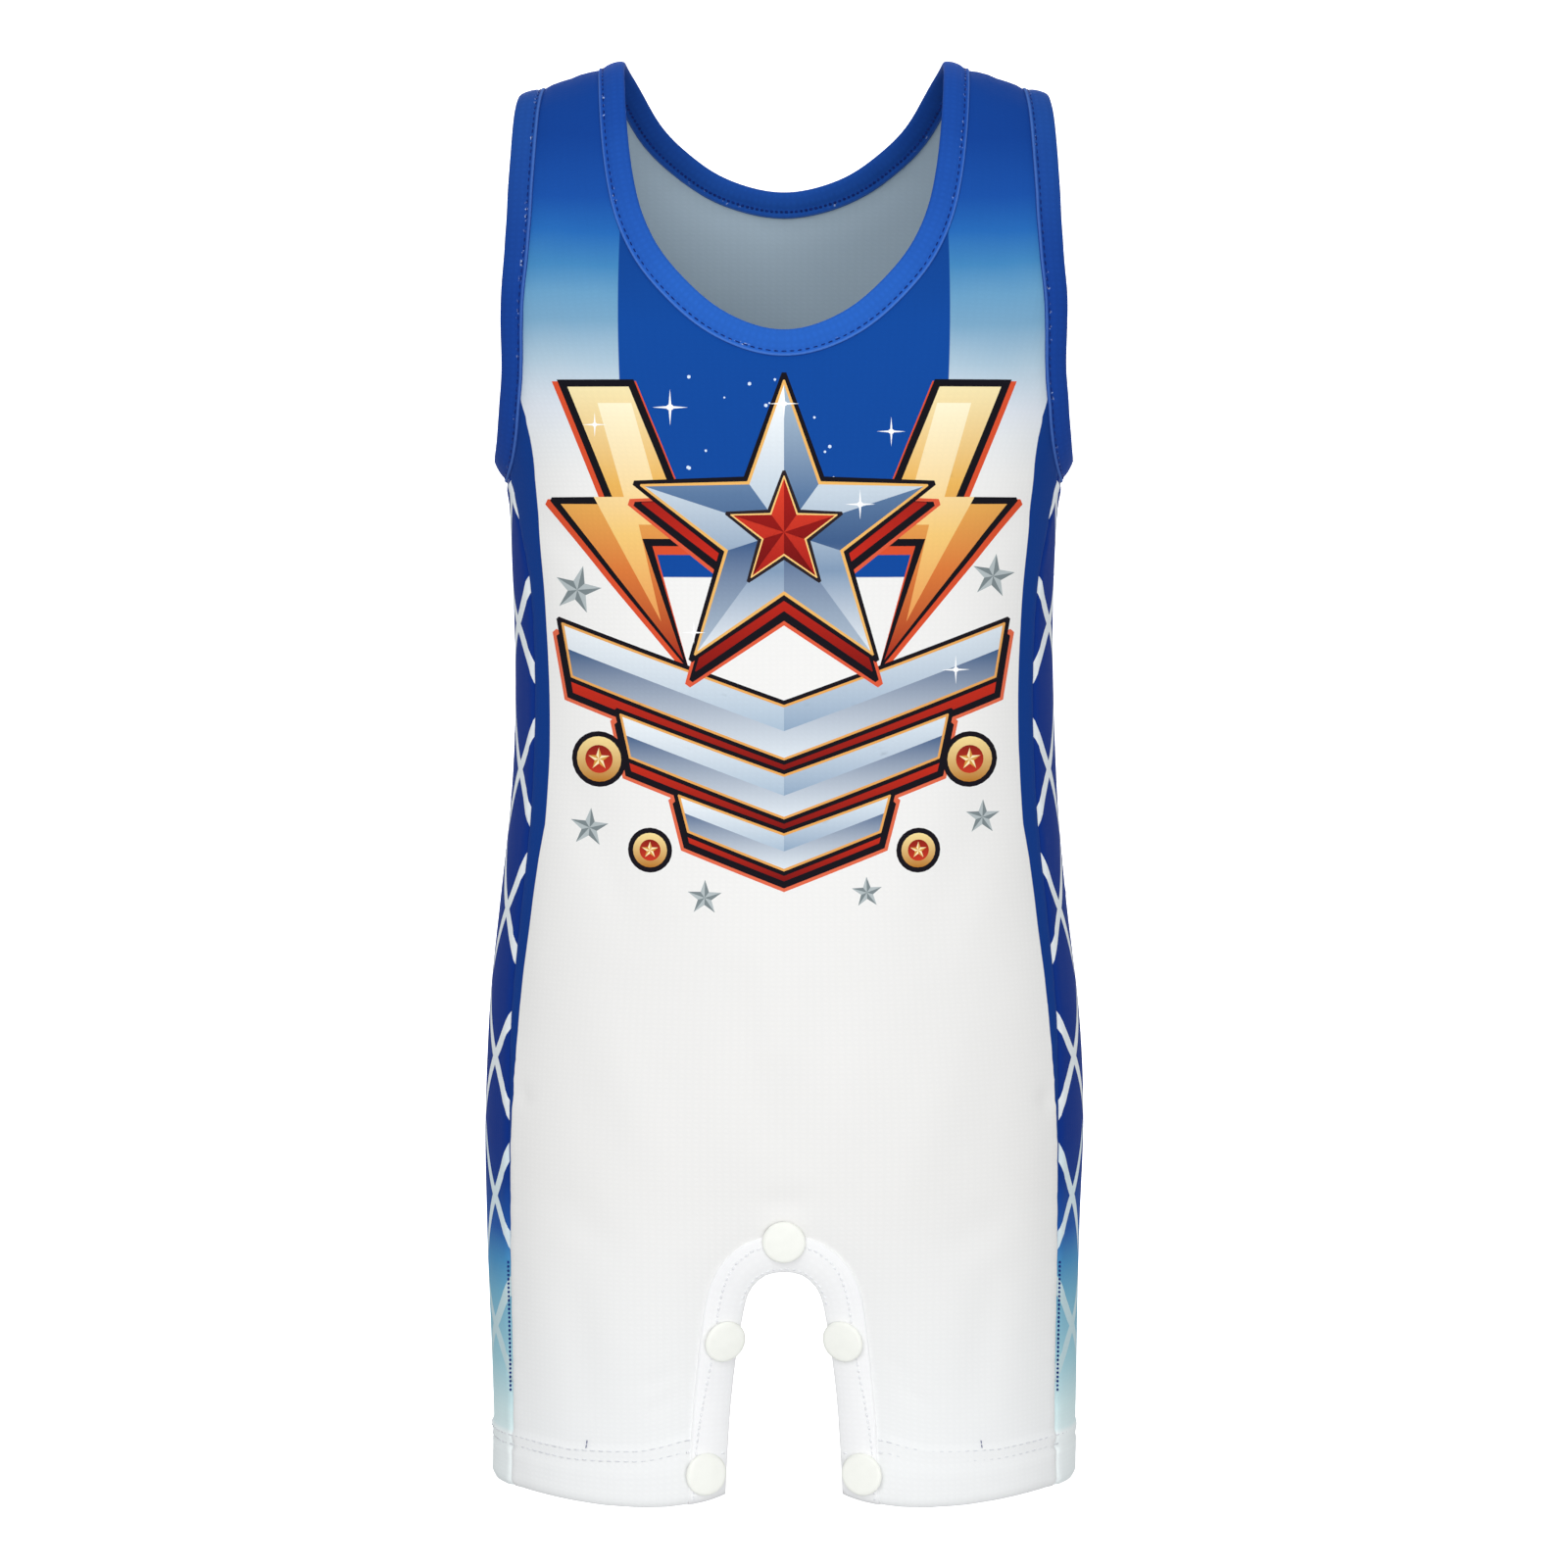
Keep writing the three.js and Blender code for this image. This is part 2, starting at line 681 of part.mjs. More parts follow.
// Placket lines on the front, left foot to right foot of the arch
const archPlaces = ARCH.map(([x, z]) => locate(x, z, false));
const archLine = (distance) => besideLine(archPlaces, distance, -1, false);
const placketPanel = archLine(PLACKET_WIDTH + SEAM_GAP);
const archClose = archLine(1);
const FRONT_LINES = [0, 0.8, 5, 9, PLACKET_WIDTH - 0.8, PLACKET_WIDTH].map(archLine);
const BACK_LINES = [1.9, 2.6, 5, 9, PLACKET_WIDTH - 0.8, PLACKET_WIDTH].map(archLine);

const HALF_GAP = SEAM_GAP / 2;
const backSeam = () => SIDE_BACK_ANGLE;
const armWhole = armPanel.map(toBack);
const arch = ARCH.length;
const middleOfArch = (arch - 1) / 2;

// Front panel
function frontPanel() {
  const neck = clipAtRidge(neckPanel, true);
  const armSide = clipAtRidge([...armPanel].reverse(), true);
  const meet = crossing(armSide, seamAngle, -HALF_GAP);
  const arm = [...armSide.slice(0, meet.index), meet.place];
  const seam = seamRows(seamAngle, meet.place[1], -HALF_GAP);
  const foot = placketPanel[arch - 1];
  const half = [
    ...neck,
    ...joinLine(neck[neck.length - 1], arm[0], 3),
    ...arm,
    ...seam,
    ...joinLine(seam[seam.length - 1], foot, 8),
    ...[...placketPanel.slice(middleOfArch)].reverse(),
  ];
  const outline = [...half, ...half.slice(1, -1).reverse().map(mirrorPlace)];
  const { points, normals, faces } = sheet(outline);
  const [all, closed] = wall(points, normals, faces);
  return solid(all, closed, 'front_panel', 0xf0f1f0, 0.75, 0);
}

// Side panel of the wearer's left, and its mirror
function sidePanel(name, mirrored) {
  const behind = [...armWhole].reverse();
  const start = crossing(armWhole, seamAngle, HALF_GAP);
  const end = crossing(behind, backSeam, -HALF_GAP);
  const lower = armWhole.slice(0, start.index).reverse();
  const top = [start.place, ...lower, ...behind.slice(1, end.index), end.place];
  const back = seamRows(backSeam, end.place[1], -HALF_GAP);
  const front = seamRows(seamAngle, start.place[1], HALF_GAP);
  const outline = [
    ...top,
    ...back,
    ...joinLine(back[back.length - 1], front[front.length - 1], 4),
    ...[...front].reverse(),
  ];
  const turned = mirrored ? outline.map(mirrorPlace) : outline;
  const { points, normals, faces } = sheet(turned);
  const [all, closed] = wall(points, normals, faces);
  return solid(all, closed, name, 0x14368a, 0.75, 0);
}

// Back panel with the inner legs and the crotch, which come forward to the arch
function backPanel() {
  const neck = clipAtRidge([...neckPanel].reverse(), false).map(toBack);
  const armSide = clipAtRidge([...armPanel], false).map(toBack);
  const meet = crossing(armSide, backSeam, HALF_GAP);
  const arm = [...armSide.slice(0, meet.index), meet.place];
  const seam = seamRows(backSeam, meet.place[1], HALF_GAP);
  const directions = ARCH.map(([x, z], i) => {
    const before = ARCH[Math.max(i - 1, 0)];
    const after = ARCH[Math.min(i + 1, arch - 1)];
    const along = new THREE.Vector2(after[0] - before[0], after[1] - before[1]).normalize();
    return i === 0 || i === arch - 1 ? new THREE.Vector2(Math.sign(x), 0)
      : new THREE.Vector2(-along.y, along.x);
  });
  const rear = ARCH.map(([x, z], i) =>
    locate(x + directions[i].x * SEAT_WIDTH, z + directions[i].y * SEAT_WIDTH, true));
  const rearFurther = ARCH.map(([x, z], i) =>
    locate(x + directions[i].x * (SEAT_WIDTH + 2), z + directions[i].y * (SEAT_WIDTH + 2), true));
  const half = [
    ...neck,
    ...joinLine(neck[neck.length - 1], arm[0], 3),
    ...arm,
    ...seam,
    ...joinLine(seam[seam.length - 1], rear[arch - 1], 11),
    ...[...rear.slice(middleOfArch)].reverse(),
  ];
  const outline = [...half, ...half.slice(1, -1).reverse().map(([angle, row]) => [360 - angle, row])];
  const { points, normals, faces } = sheet(outline);
  const seat = half.length - 1;
  const line = ARCH.map((_, i) => seat + (middleOfArch - i));
  let previous = line;
  const bend = [0.3, 0.6, 1];
  const straight = [0.2, 0.4, 0.6, 0.8, 1];
  const columns = ARCH.map(([x, z], i) => {
    const out = new THREE.Vector3(directions[i].x, 0, directions[i].y);
    const start = points[line[i]];
    const inward = start.clone().sub(skin(rearFurther[i])).normalize();
    const base = new THREE.Vector3(x, 0, z);
    const turn = base.clone().addScaledVector(out, 1.9);
    turn.y = start.y - 19;
    const b1 = start.clone().addScaledVector(inward, 8);
    const b2 = turn.clone().add(new THREE.Vector3(0, 10, 0));
    const face = skin(archPlaces[i]);
    const out3 = normal(archPlaces[i]);
    const away = skin(archClose[i]).sub(face).normalize();
    const depth = PLACKET_WALL - PLACKET_PROUD + SEAM_GAP + 0.1;
    const front = face.clone().addScaledVector(out3, -depth).addScaledVector(away, 0.25);
    return [
      ...bend.map((t) => start.clone().multiplyScalar((1 - t) ** 3)
        .addScaledVector(b1, 3 * t * (1 - t) ** 2)
        .addScaledVector(b2, 3 * t * t * (1 - t))
        .addScaledVector(turn, t ** 3)),
      ...straight.map((t) => turn.clone().lerp(front, t)),
    ];
  });
  for (let step = 0; step < bend.length + straight.length; step += 1) {
    const current = columns.map((column) => points.push(column[step]) - 1);
    for (let i = 0; i < arch - 1; i += 1) {
      faces.push([previous[i], previous[i + 1], current[i + 1]], [previous[i], current[i + 1], current[i]]);
    }
    previous = current;
  }
  const smoothNormals = meshNormals(points, faces);
  const all = points.map((_, i) => normals[i] || smoothNormals[i]);
  const [shell, closed] = wall(points, all, faces);
  return solid(shell, closed, 'back_panel', 0xf0f1f0, 0.75, 0);
}

// Lines of a binding between its two edges
const bandLines = (inner, outer) => [0, 0.07, 0.93, 1].map((across) =>
  inner.map((place, i) => place.map((value, k) => mix(value, outer[i][k], across))));
const flare = ([, row], across) =>
  BAND_FLARE * (1 - across) * Math.exp(-(((Math.abs(row) - 7.9) / 0.75) ** 2));
const level = () => 0;
const neckLines = bandLines(neckRing, neckOuter);
const armLines = bandLines(armRing, armOuter);
const otherArm = armLines.map((line) => line.map(mirrorPlace));
const UNDER = PLACKET_PROUD - PLACKET_WALL - SEAM_GAP;

const garment = new THREE.Group();
garment.name = 'wrestling_singlet';
garment.add(frontPanel());
garment.add(backPanel());
garment.add(sidePanel('side_panel_left', false));
garment.add(sidePanel('side_panel_right', true));
garment.add(strip(neckLines, BAND_PROUD, BAND_WALL, true, level, 'neck_binding', 0x2250c0));
garment.add(strip(armLines, BAND_PROUD, BAND_WALL, true, flare, 'armhole_binding_left', 0x2250c0));
garment.add(strip(otherArm, BAND_PROUD, BAND_WALL, true, flare, 'armhole_binding_right', 0x2250c0));
garment.add(strip(FRONT_LINES, PLACKET_PROUD, PLACKET_WALL, false, level, 'placket_front', 0xf2f3f6));
garment.add(strip(BACK_LINES, UNDER, PLACKET_WALL, false, level, 'placket_back', 0xf2f3f6));

// How far the cloth stands above and falls below a flat disc that touches it at its middle
function unevenness(place, out, radius) {
  const middle = skin(place);
  const [turn, down] = tangents(place);
  let above = 0;
  let below = 0;
  for (let i = -6; i <= 6; i += 1) {
    for (let k = -6; k <= 6; k += 1) {
      const angle = place[0] + (i / 5) * (radius / turn.length());
      const row = Math.min(place[1] + (k / 5) * (radius / down.length()), LAST_ROW);
      const step = skin([angle, row]).sub(middle);
      const height = step.dot(out);
      if (step.length() < radius * 1.06) {
        above = Math.max(above, height);
        below = Math.max(below, -height);
      }
    }
  }
  return [above, below];
}

// Snap caps outside and stud rings inside
const capShape = [[CAP_RADIUS - 0.5, 0], [CAP_RADIUS, 0.5], [CAP_RADIUS - 0.3, 1.1],
  [CAP_RADIUS - 1.6, CAP_HEIGHT - 0.15], [1.6, CAP_HEIGHT]];
const studShape = [[STUD_RADIUS - 0.3, 0], [STUD_RADIUS, 0.4], [STUD_RADIUS - 0.6, STUD_HEIGHT]];
Object.entries(SNAPS).forEach(([name, [x, z]]) => {
  const place = locate(x, z, false);
  const out = normal(place);
  const face = skin(place);
  const [above] = unevenness(place, out, CAP_RADIUS);
  const top = face.clone().addScaledVector(out, PLACKET_PROUD + SEAM_GAP + above);
  const [, below] = unevenness(place, out, STUD_RADIUS);
  const deep = 2 * PLACKET_WALL + 2 * SEAM_GAP - PLACKET_PROUD + below;
  const under = face.clone().addScaledVector(out, -deep);
  garment.add(button(capShape, 20, top, out, `snap_cap_${name}`, 0xf7f9f3, 0.35));
  garment.add(button(studShape, 16, under, out.clone().negate(), `snap_stud_${name}`, 0xf7f9f3, 0.35));
});

export default garment;
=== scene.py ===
import math
import random

import bmesh
import bpy
import numpy as np
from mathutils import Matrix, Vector
from mathutils.geometry import delaunay_2d_cdt


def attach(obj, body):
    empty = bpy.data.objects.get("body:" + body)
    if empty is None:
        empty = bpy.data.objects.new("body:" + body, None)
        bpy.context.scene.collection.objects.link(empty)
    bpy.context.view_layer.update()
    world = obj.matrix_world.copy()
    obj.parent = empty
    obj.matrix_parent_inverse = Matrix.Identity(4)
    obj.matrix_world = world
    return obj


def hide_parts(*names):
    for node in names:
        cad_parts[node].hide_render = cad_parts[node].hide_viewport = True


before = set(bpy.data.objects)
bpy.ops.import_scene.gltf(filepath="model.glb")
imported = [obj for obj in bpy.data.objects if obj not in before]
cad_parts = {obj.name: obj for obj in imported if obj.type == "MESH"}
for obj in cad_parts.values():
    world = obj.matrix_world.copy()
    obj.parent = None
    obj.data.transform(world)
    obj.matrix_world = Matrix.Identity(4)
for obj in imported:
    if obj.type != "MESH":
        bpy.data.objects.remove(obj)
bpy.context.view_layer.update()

# Front panel, straps included: one piece of polyester knit, printed by heat transfer on its outer
# face and left white inside. It is cut flat, then sewn to the bindings, side panels and placket.
# All shapes are worked out in millimetres and become metres in make_mesh.

# Level of each row of the body, half width, half depth, middle of the depth, squareness
SECTIONS = np.array([
    [0.0, 95.0, 0.0, 0.0, 3.4],
    [-2.3, 95.0, 9.5, 0.0, 3.4],
    [-8.6, 95.0, 18.2, 0.0, 3.4],
    [-19.0, 95.0, 25.8, 0.0, 3.4],
    [-33.0, 95.0, 32.2, 0.0, 3.4],
    [-50.0, 94.6, 37.8, -0.4, 3.3],
    [-71.0, 93.2, 43.0, -1.0, 3.1],
    [-95.0, 89.4, 47.4, -1.8, 2.75],
    [-121.0, 82.9, 50.4, -2.4, 2.35],
    [-150.0, 80.6, 52.6, -2.8, 2.15],
    [-182.0, 79.9, 54.4, -2.8, 2.1],
    [-215.0, 81.3, 56.6, -2.2, 2.1],
    [-249.0, 84.5, 59.0, -1.0, 2.1],
    [-283.0, 88.1, 61.0, 0.6, 2.1],
    [-316.0, 89.7, 61.8, 1.6, 2.15],
    [-347.0, 88.9, 60.2, 1.8, 2.2],
    [-375.0, 87.9, 57.6, 1.6, 2.3],
    [-400.0, 87.4, 55.4, 1.2, 2.35],
    [-421.5, 87.2, 54.2, 1.0, 2.4],
])
LAST = len(SECTIONS) - 1
# Edges of the front as angle from the centre front and row of SECTIONS
NECK_EDGE = np.array([
    [0.0, 6.42], [6.0, 6.34], [12.9, 6.08], [19.5, 5.56], [22.6, 5.14], [24.8, 4.5], [26.3, 3.23],
    [27.0, 1.42], [27.0, 0.0], [26.2, -1.16], [21.9, -2.83], [15.9, -3.62], [9.75, -4.05], [0.0, -4.28],
])
ARM_EDGE = np.array([
    [90.0, 7.86], [80.0, 7.83], [71.0, 7.64], [62.5, 7.26], [56.2, 6.72], [50.8, 5.6], [48.5, 4.7],
    [47.7, 3.9], [47.2, 2.9], [46.6, 1.6], [45.9, 0.5], [45.7, 0.0],
])
# Front seam of the side panel as row and angle, and the arch between the legs as x and z
SIDE_FRONT = np.array([
    [7.6, 77.0], [8.1, 74.0], [8.64, 70.7], [9.09, 67.3], [10.03, 65.7], [11.15, 64.8], [12.31, 65.6],
    [13.0, 65.3], [13.6, 63.7], [14.23, 63.1], [15.15, 63.4], [16.49, 62.8], [18.0, 62.8],
])
ARCH_EDGE = np.array([
    [0.0, -354.0], [4.4, -354.6], [7.8, -356.9], [10.1, -360.2], [11.5, -365.0], [12.9, -373.0],
    [14.3, -382.5], [15.5, -393.5], [16.4, -406.5], [17.1, -421.5],
])
# Level of the hem stitches, half the slit at a seam, thickness of the cloth, how far the panels reach
# in under the bindings and the placket, and radius of the tube that the flat picture is rolled off
HEM_TOP = -405.5
SEAM_HALF = 0.08
CLOTH_THICKNESS = 1.1
BINDING_SEAM = 7.5
PLACKET_SEAM = 11.7
PLANE_RADIUS = 72


def catmull(before, a, b, after, t):
    c2 = 2 * before - 5 * a + 4 * b - after
    c3 = 3 * a - before - 3 * b + after
    return 0.5 * (2 * a + (b - before) * t + c2 * t * t + c3 * t ** 3)


def smooth(t):
    t = np.clip(t, 0, 1)
    return t * t * (3 - 2 * t)


def curve_through(before, table, place):
    """Points of a smooth curve through the rows of a table, whose first row has one before it."""
    ends = np.vstack([before, table, 2 * table[-1] - table[-2]])
    first = np.clip(np.floor(place).astype(int), 0, len(table) - 2)
    return catmull(*[ends[first + k] for k in range(4)], (place - first)[..., None])


def section(row):
    row = np.asarray(row, float)
    found = curve_through(SECTIONS[1] * [1, 1, -1, 1, 1], SECTIONS, np.abs(row))
    found[..., 2] *= np.where(row < 0, -1, 1)
    return found


def smooth_line(table, count):
    return curve_through(2 * table[0] - table[1], table, np.linspace(0, len(table) - 1, count + 1))


def run_along(points):
    """Length along a line up to each of its points."""
    return np.append(0, np.cumsum(np.linalg.norm(np.diff(points, axis=0), axis=1)))


def even_line(line, step, where):
    lengths = run_along(where(line))
    targets = np.linspace(0, lengths[-1], round(lengths[-1] / step) + 1)
    return np.column_stack([np.interp(targets, lengths, column) for column in line.T])


arch_table = np.vstack([ARCH_EDGE[1] * [-1, 1], ARCH_EDGE])
ARCH_HALF = even_line(smooth_line(arch_table, 400)[40:], 2.7, lambda line: line)
ARCH_HALF[0] = ARCH_EDGE[0]
ARCH = np.vstack([ARCH_HALF[:0:-1] * [-1, 1], ARCH_HALF])


def line_distance(points, line, signed=False):
    """Distance of points in a plane from a line of points; signed is negative left of the line."""
    best = np.full(len(points), np.inf)
    side = np.ones(len(points))
    for start, end in zip(line[:-1], line[1:]):
        along = end - start
        step = points - start
        t = np.clip(step @ along / max(along @ along, 1e-9), 0, 1)
        gap = np.hypot(*(step - t[:, None] * along).T)
        turn = np.where(along[0] * step[:, 1] - along[1] * step[:, 0] < 0, -1, 1)
        side = np.where(gap < best, turn, side)
        best = np.minimum(gap, best)
    return best * side if signed else best


def arch_distance(x, z):
    return line_distance(np.column_stack([np.abs(x), z]), ARCH_HALF, signed=True)


def shoulder_fall(x, level):
    """How far the shoulders drop below the levels of SECTIONS toward the armholes."""
    slope, start, softness, lowest = 0.34, 47, 3, 95
    past = np.log1p(np.exp((np.abs(x) - start) / softness))
    return slope * softness * past * smooth(1 + level / lowest)


def skin(place):
    """Outside face of the cloth at angles from the centre front and rows of SECTIONS."""
    place = np.asarray(place, float)
    angle = np.radians(place[:, 0])
    level, width, depth, middle, power = section(place[:, 1]).T
    across = np.sin(angle)
    ahead = np.cos(angle)
    reach = (np.abs(across) ** power + np.abs(ahead) ** power) ** (-1 / power)
    x = width * reach * across
    y = middle - depth * reach * ahead
    z = level - shoulder_fall(x, level)
    low = level < -300
    if low.any():
        gap = arch_distance(x[low], z[low])
        front = ahead[low] > 0
        turn = 2.6 + 8.4 * smooth((-338 - level[low]) / 52)
        roll = turn * np.exp(-np.maximum(gap, -8) / 12)
        seat = 6 * smooth((-310 - level[low]) / 50) * np.exp(-np.maximum(gap - 14, 0) / 14)
        y[low] += np.where(front, roll, -seat) * ahead[low] ** 2
    return np.column_stack([x, y, z])


def tangents(place):
    place = np.column_stack([place[:, 0], np.clip(place[:, 1], 0.004 - LAST, LAST - 0.004)])
    turn = (skin(place + [0.02, 0]) - skin(place - [0.02, 0])) / 0.04
    down = (skin(place + [0, 0.002]) - skin(place - [0, 0.002])) / 0.004
    return turn, down


def unit(vectors):
    return vectors / np.linalg.norm(vectors, axis=1)[:, None]


def normal(place):
    turn, down = tangents(place)
    return unit(np.cross(down, turn))


def dots(a, b):
    return np.sum(a * b, axis=1)


def walk(place, direction, distance):
    """Places reached by going a distance along the cloth in given directions."""
    heading = direction.copy()
    place = place.copy()
    steps = max(1, math.ceil(distance / 1.5))
    for _ in range(steps):
        turn, down = tangents(place)
        out = unit(np.cross(down, turn))
        heading = unit(heading - out * dots(heading, out)[:, None])
        move = heading * distance / steps
        tt = dots(turn, turn)
        td = dots(turn, down)
        dd = dots(down, down)
        whole = tt * dd - td * td
        place[:, 0] += (dd * dots(turn, move) - td * dots(down, move)) / whole
        place[:, 1] += (tt * dots(down, move) - td * dots(turn, move)) / whole
    place[:, 1] = np.clip(place[:, 1], -LAST, LAST)
    return place


def beside(line, distance, side, closed):
    """Line moved sideways along the cloth, away from the hole that it edges."""
    if closed:
        following = np.roll(line, -1, axis=0)
        previous = np.roll(line, 1, axis=0)
    else:
        following = np.vstack([line[1:], line[-1:]])
        previous = np.vstack([line[:1], line[:-1]])
    along = skin(following) - skin(previous)
    if not closed:
        along[[0, -1], :2] = 0
    return walk(line, unit(np.cross(along, normal(line)) * side), distance)


def locate(x, z, back=False):
    """Places on the front or back that are seen straight on at x, z."""
    x = np.asarray(x, float)
    low = np.zeros(len(x))
    high = np.full(len(x), float(LAST))
    for _ in range(40):
        row = (low + high) / 2
        level = section(row)[:, 0]
        under = level - shoulder_fall(x, level) > z
        low = np.where(under, row, low)
        high = np.where(under, high, row)
    _, width, _, _, power = section(row).T
    across = np.clip(np.abs(x) / width, 0, 1)
    angle = np.degrees(np.arctan2(across, (1 - across ** power) ** (1 / power))) * np.sign(x)
    return np.column_stack([180 - angle if back else angle, row])


rows_fine = np.linspace(0, LAST, LAST * 20 + 1)
fine = section(rows_fine)
ROW_LENGTHS = run_along(fine[:, [0, 2]])


def on_plane(place):
    """Flat picture of the cloth, in which it is divided into triangles."""
    lengths = np.interp(np.abs(place[:, 1]), rows_fine, ROW_LENGTHS)
    return np.column_stack([np.radians(place[:, 0]) * PLANE_RADIUS, lengths])


def off_plane(flat):
    angles = np.degrees(flat[:, 0] / PLANE_RADIUS)
    return np.column_stack([angles, np.interp(flat[:, 1], ROW_LENGTHS, rows_fine)])


def inside(points, outline):
    found = np.zeros(len(points), bool)
    for (ax, ay), (bx, by) in zip(np.roll(outline, 1, axis=0), outline):
        spans = (ay > points[:, 1]) != (by > points[:, 1])
        if ay != by:
            found ^= spans & (points[:, 0] < (ax - bx) * (points[:, 1] - by) / (ay - by) + bx)
    return found


def mirrored(line):
    return line * [-1, 1]


def neck_line(distance, step=2.0):
    ghosts = np.vstack([mirrored(NECK_EDGE[1:2]), NECK_EDGE, mirrored(NECK_EDGE[-2:-1])])
    half = even_line(smooth_line(ghosts, 15 * 40)[40:-40], step, skin)
    ring = np.vstack([half, mirrored(half[-2:0:-1])])
    soft = np.exp(-(np.arange(-8, 9) * step / 6.0) ** 2)
    turns = [np.roll(ring, k, axis=0) * share for k, share in zip(range(-8, 9), soft / soft.sum())]
    ring = np.sum(turns, axis=0)
    return beside(ring, distance, 1, True) if distance else ring


def arm_line(distance, step=2.0):
    """Left armhole from its lowest point up the front, over the ridge and down the back."""
    below = [[180 - ARM_EDGE[1, 0], ARM_EDGE[1, 1]]]
    above = [[ARM_EDGE[-2, 0], -ARM_EDGE[-2, 1]]]
    ghosts = np.vstack([below, ARM_EDGE, above])
    half = even_line(smooth_line(ghosts, 13 * 40)[40:-40], step, skin)
    full = np.vstack([half, half[-2::-1] * [1, -1]])
    ends = [[180 - full[1, 0], full[1, 1]]]
    wrapped = np.vstack([ends, full, ends])
    return beside(wrapped, distance, -1, False)[1:-1] if distance else full


def seam_angle(row):
    """Angle of the front seam of the side panel at rows."""
    first = np.clip(np.searchsorted(SIDE_FRONT[:, 0], row) - 1, 0, len(SIDE_FRONT) - 2)
    last = len(SIDE_FRONT) - 1
    start, end = SIDE_FRONT[first], SIDE_FRONT[first + 1]
    before, after = SIDE_FRONT[np.maximum(first - 1, 0)], SIDE_FRONT[np.minimum(first + 2, last)]
    span = end[:, 0] - start[:, 0]
    t = (row - start[:, 0]) / span
    into = (end[:, 1] - before[:, 1]) / (end[:, 0] - before[:, 0]) * span
    out = (after[:, 1] - start[:, 1]) / (after[:, 0] - start[:, 0]) * span
    return ((2 * t ** 3 - 3 * t ** 2 + 1) * start[:, 1] + (t ** 3 - 2 * t ** 2 + t) * into
            + (3 * t ** 2 - 2 * t ** 3) * end[:, 1] + (t ** 3 - t ** 2) * out)


def seam_line(angle_at, start_row, shift):
    rows = np.linspace(start_row, LAST, 180)[1:]
    angles = angle_at(rows)
    turn, _ = tangents(np.column_stack([angles, rows]))
    return np.column_stack([angles + shift / np.linalg.norm(turn, axis=1), rows])


def crossing(line, angle_at, shift):
    """Index and place where a line meets a seam."""
    turn, _ = tangents(line)
    gap = line[:, 0] - angle_at(line[:, 1]) - shift / np.linalg.norm(turn, axis=1)
    i = np.flatnonzero((gap[:-1] <= 0) != (gap[1:] <= 0))[0] + 1
    t = gap[i - 1] / (gap[i - 1] - gap[i])
    return i, line[i - 1] + t * (line[i] - line[i - 1])


def clip_at_ridge(line, front):
    """Part of a line on one side of the shoulder ridge, ending at the shoulder seam."""
    limit = 0.008 if front else -0.008
    within = line[:, 1] >= limit if front else line[:, 1] <= limit
    kept = []
    for i, place in enumerate(line):
        if i and within[i] != within[i - 1]:
            t = (limit - line[i - 1, 1]) / (place[1] - line[i - 1, 1])
            kept.append([line[i - 1, 0] + t * (place[0] - line[i - 1, 0]), limit])
        if within[i] and abs(place[1] - limit) > 0.05:
            kept.append(place)
    return np.array(kept)


def join(a, b, count):
    return a + (b - a) * (np.arange(1, count) / count)[:, None]


def ring_points(outline, step):
    """Closed outline with points no further apart than a step."""
    found = []
    for a, b in zip(outline, np.roll(outline, -1, axis=0)):
        count = max(1, math.ceil(np.linalg.norm(b - a) / step))
        found.extend(a + (b - a) * k / count for k in range(count))
    return np.array(found)


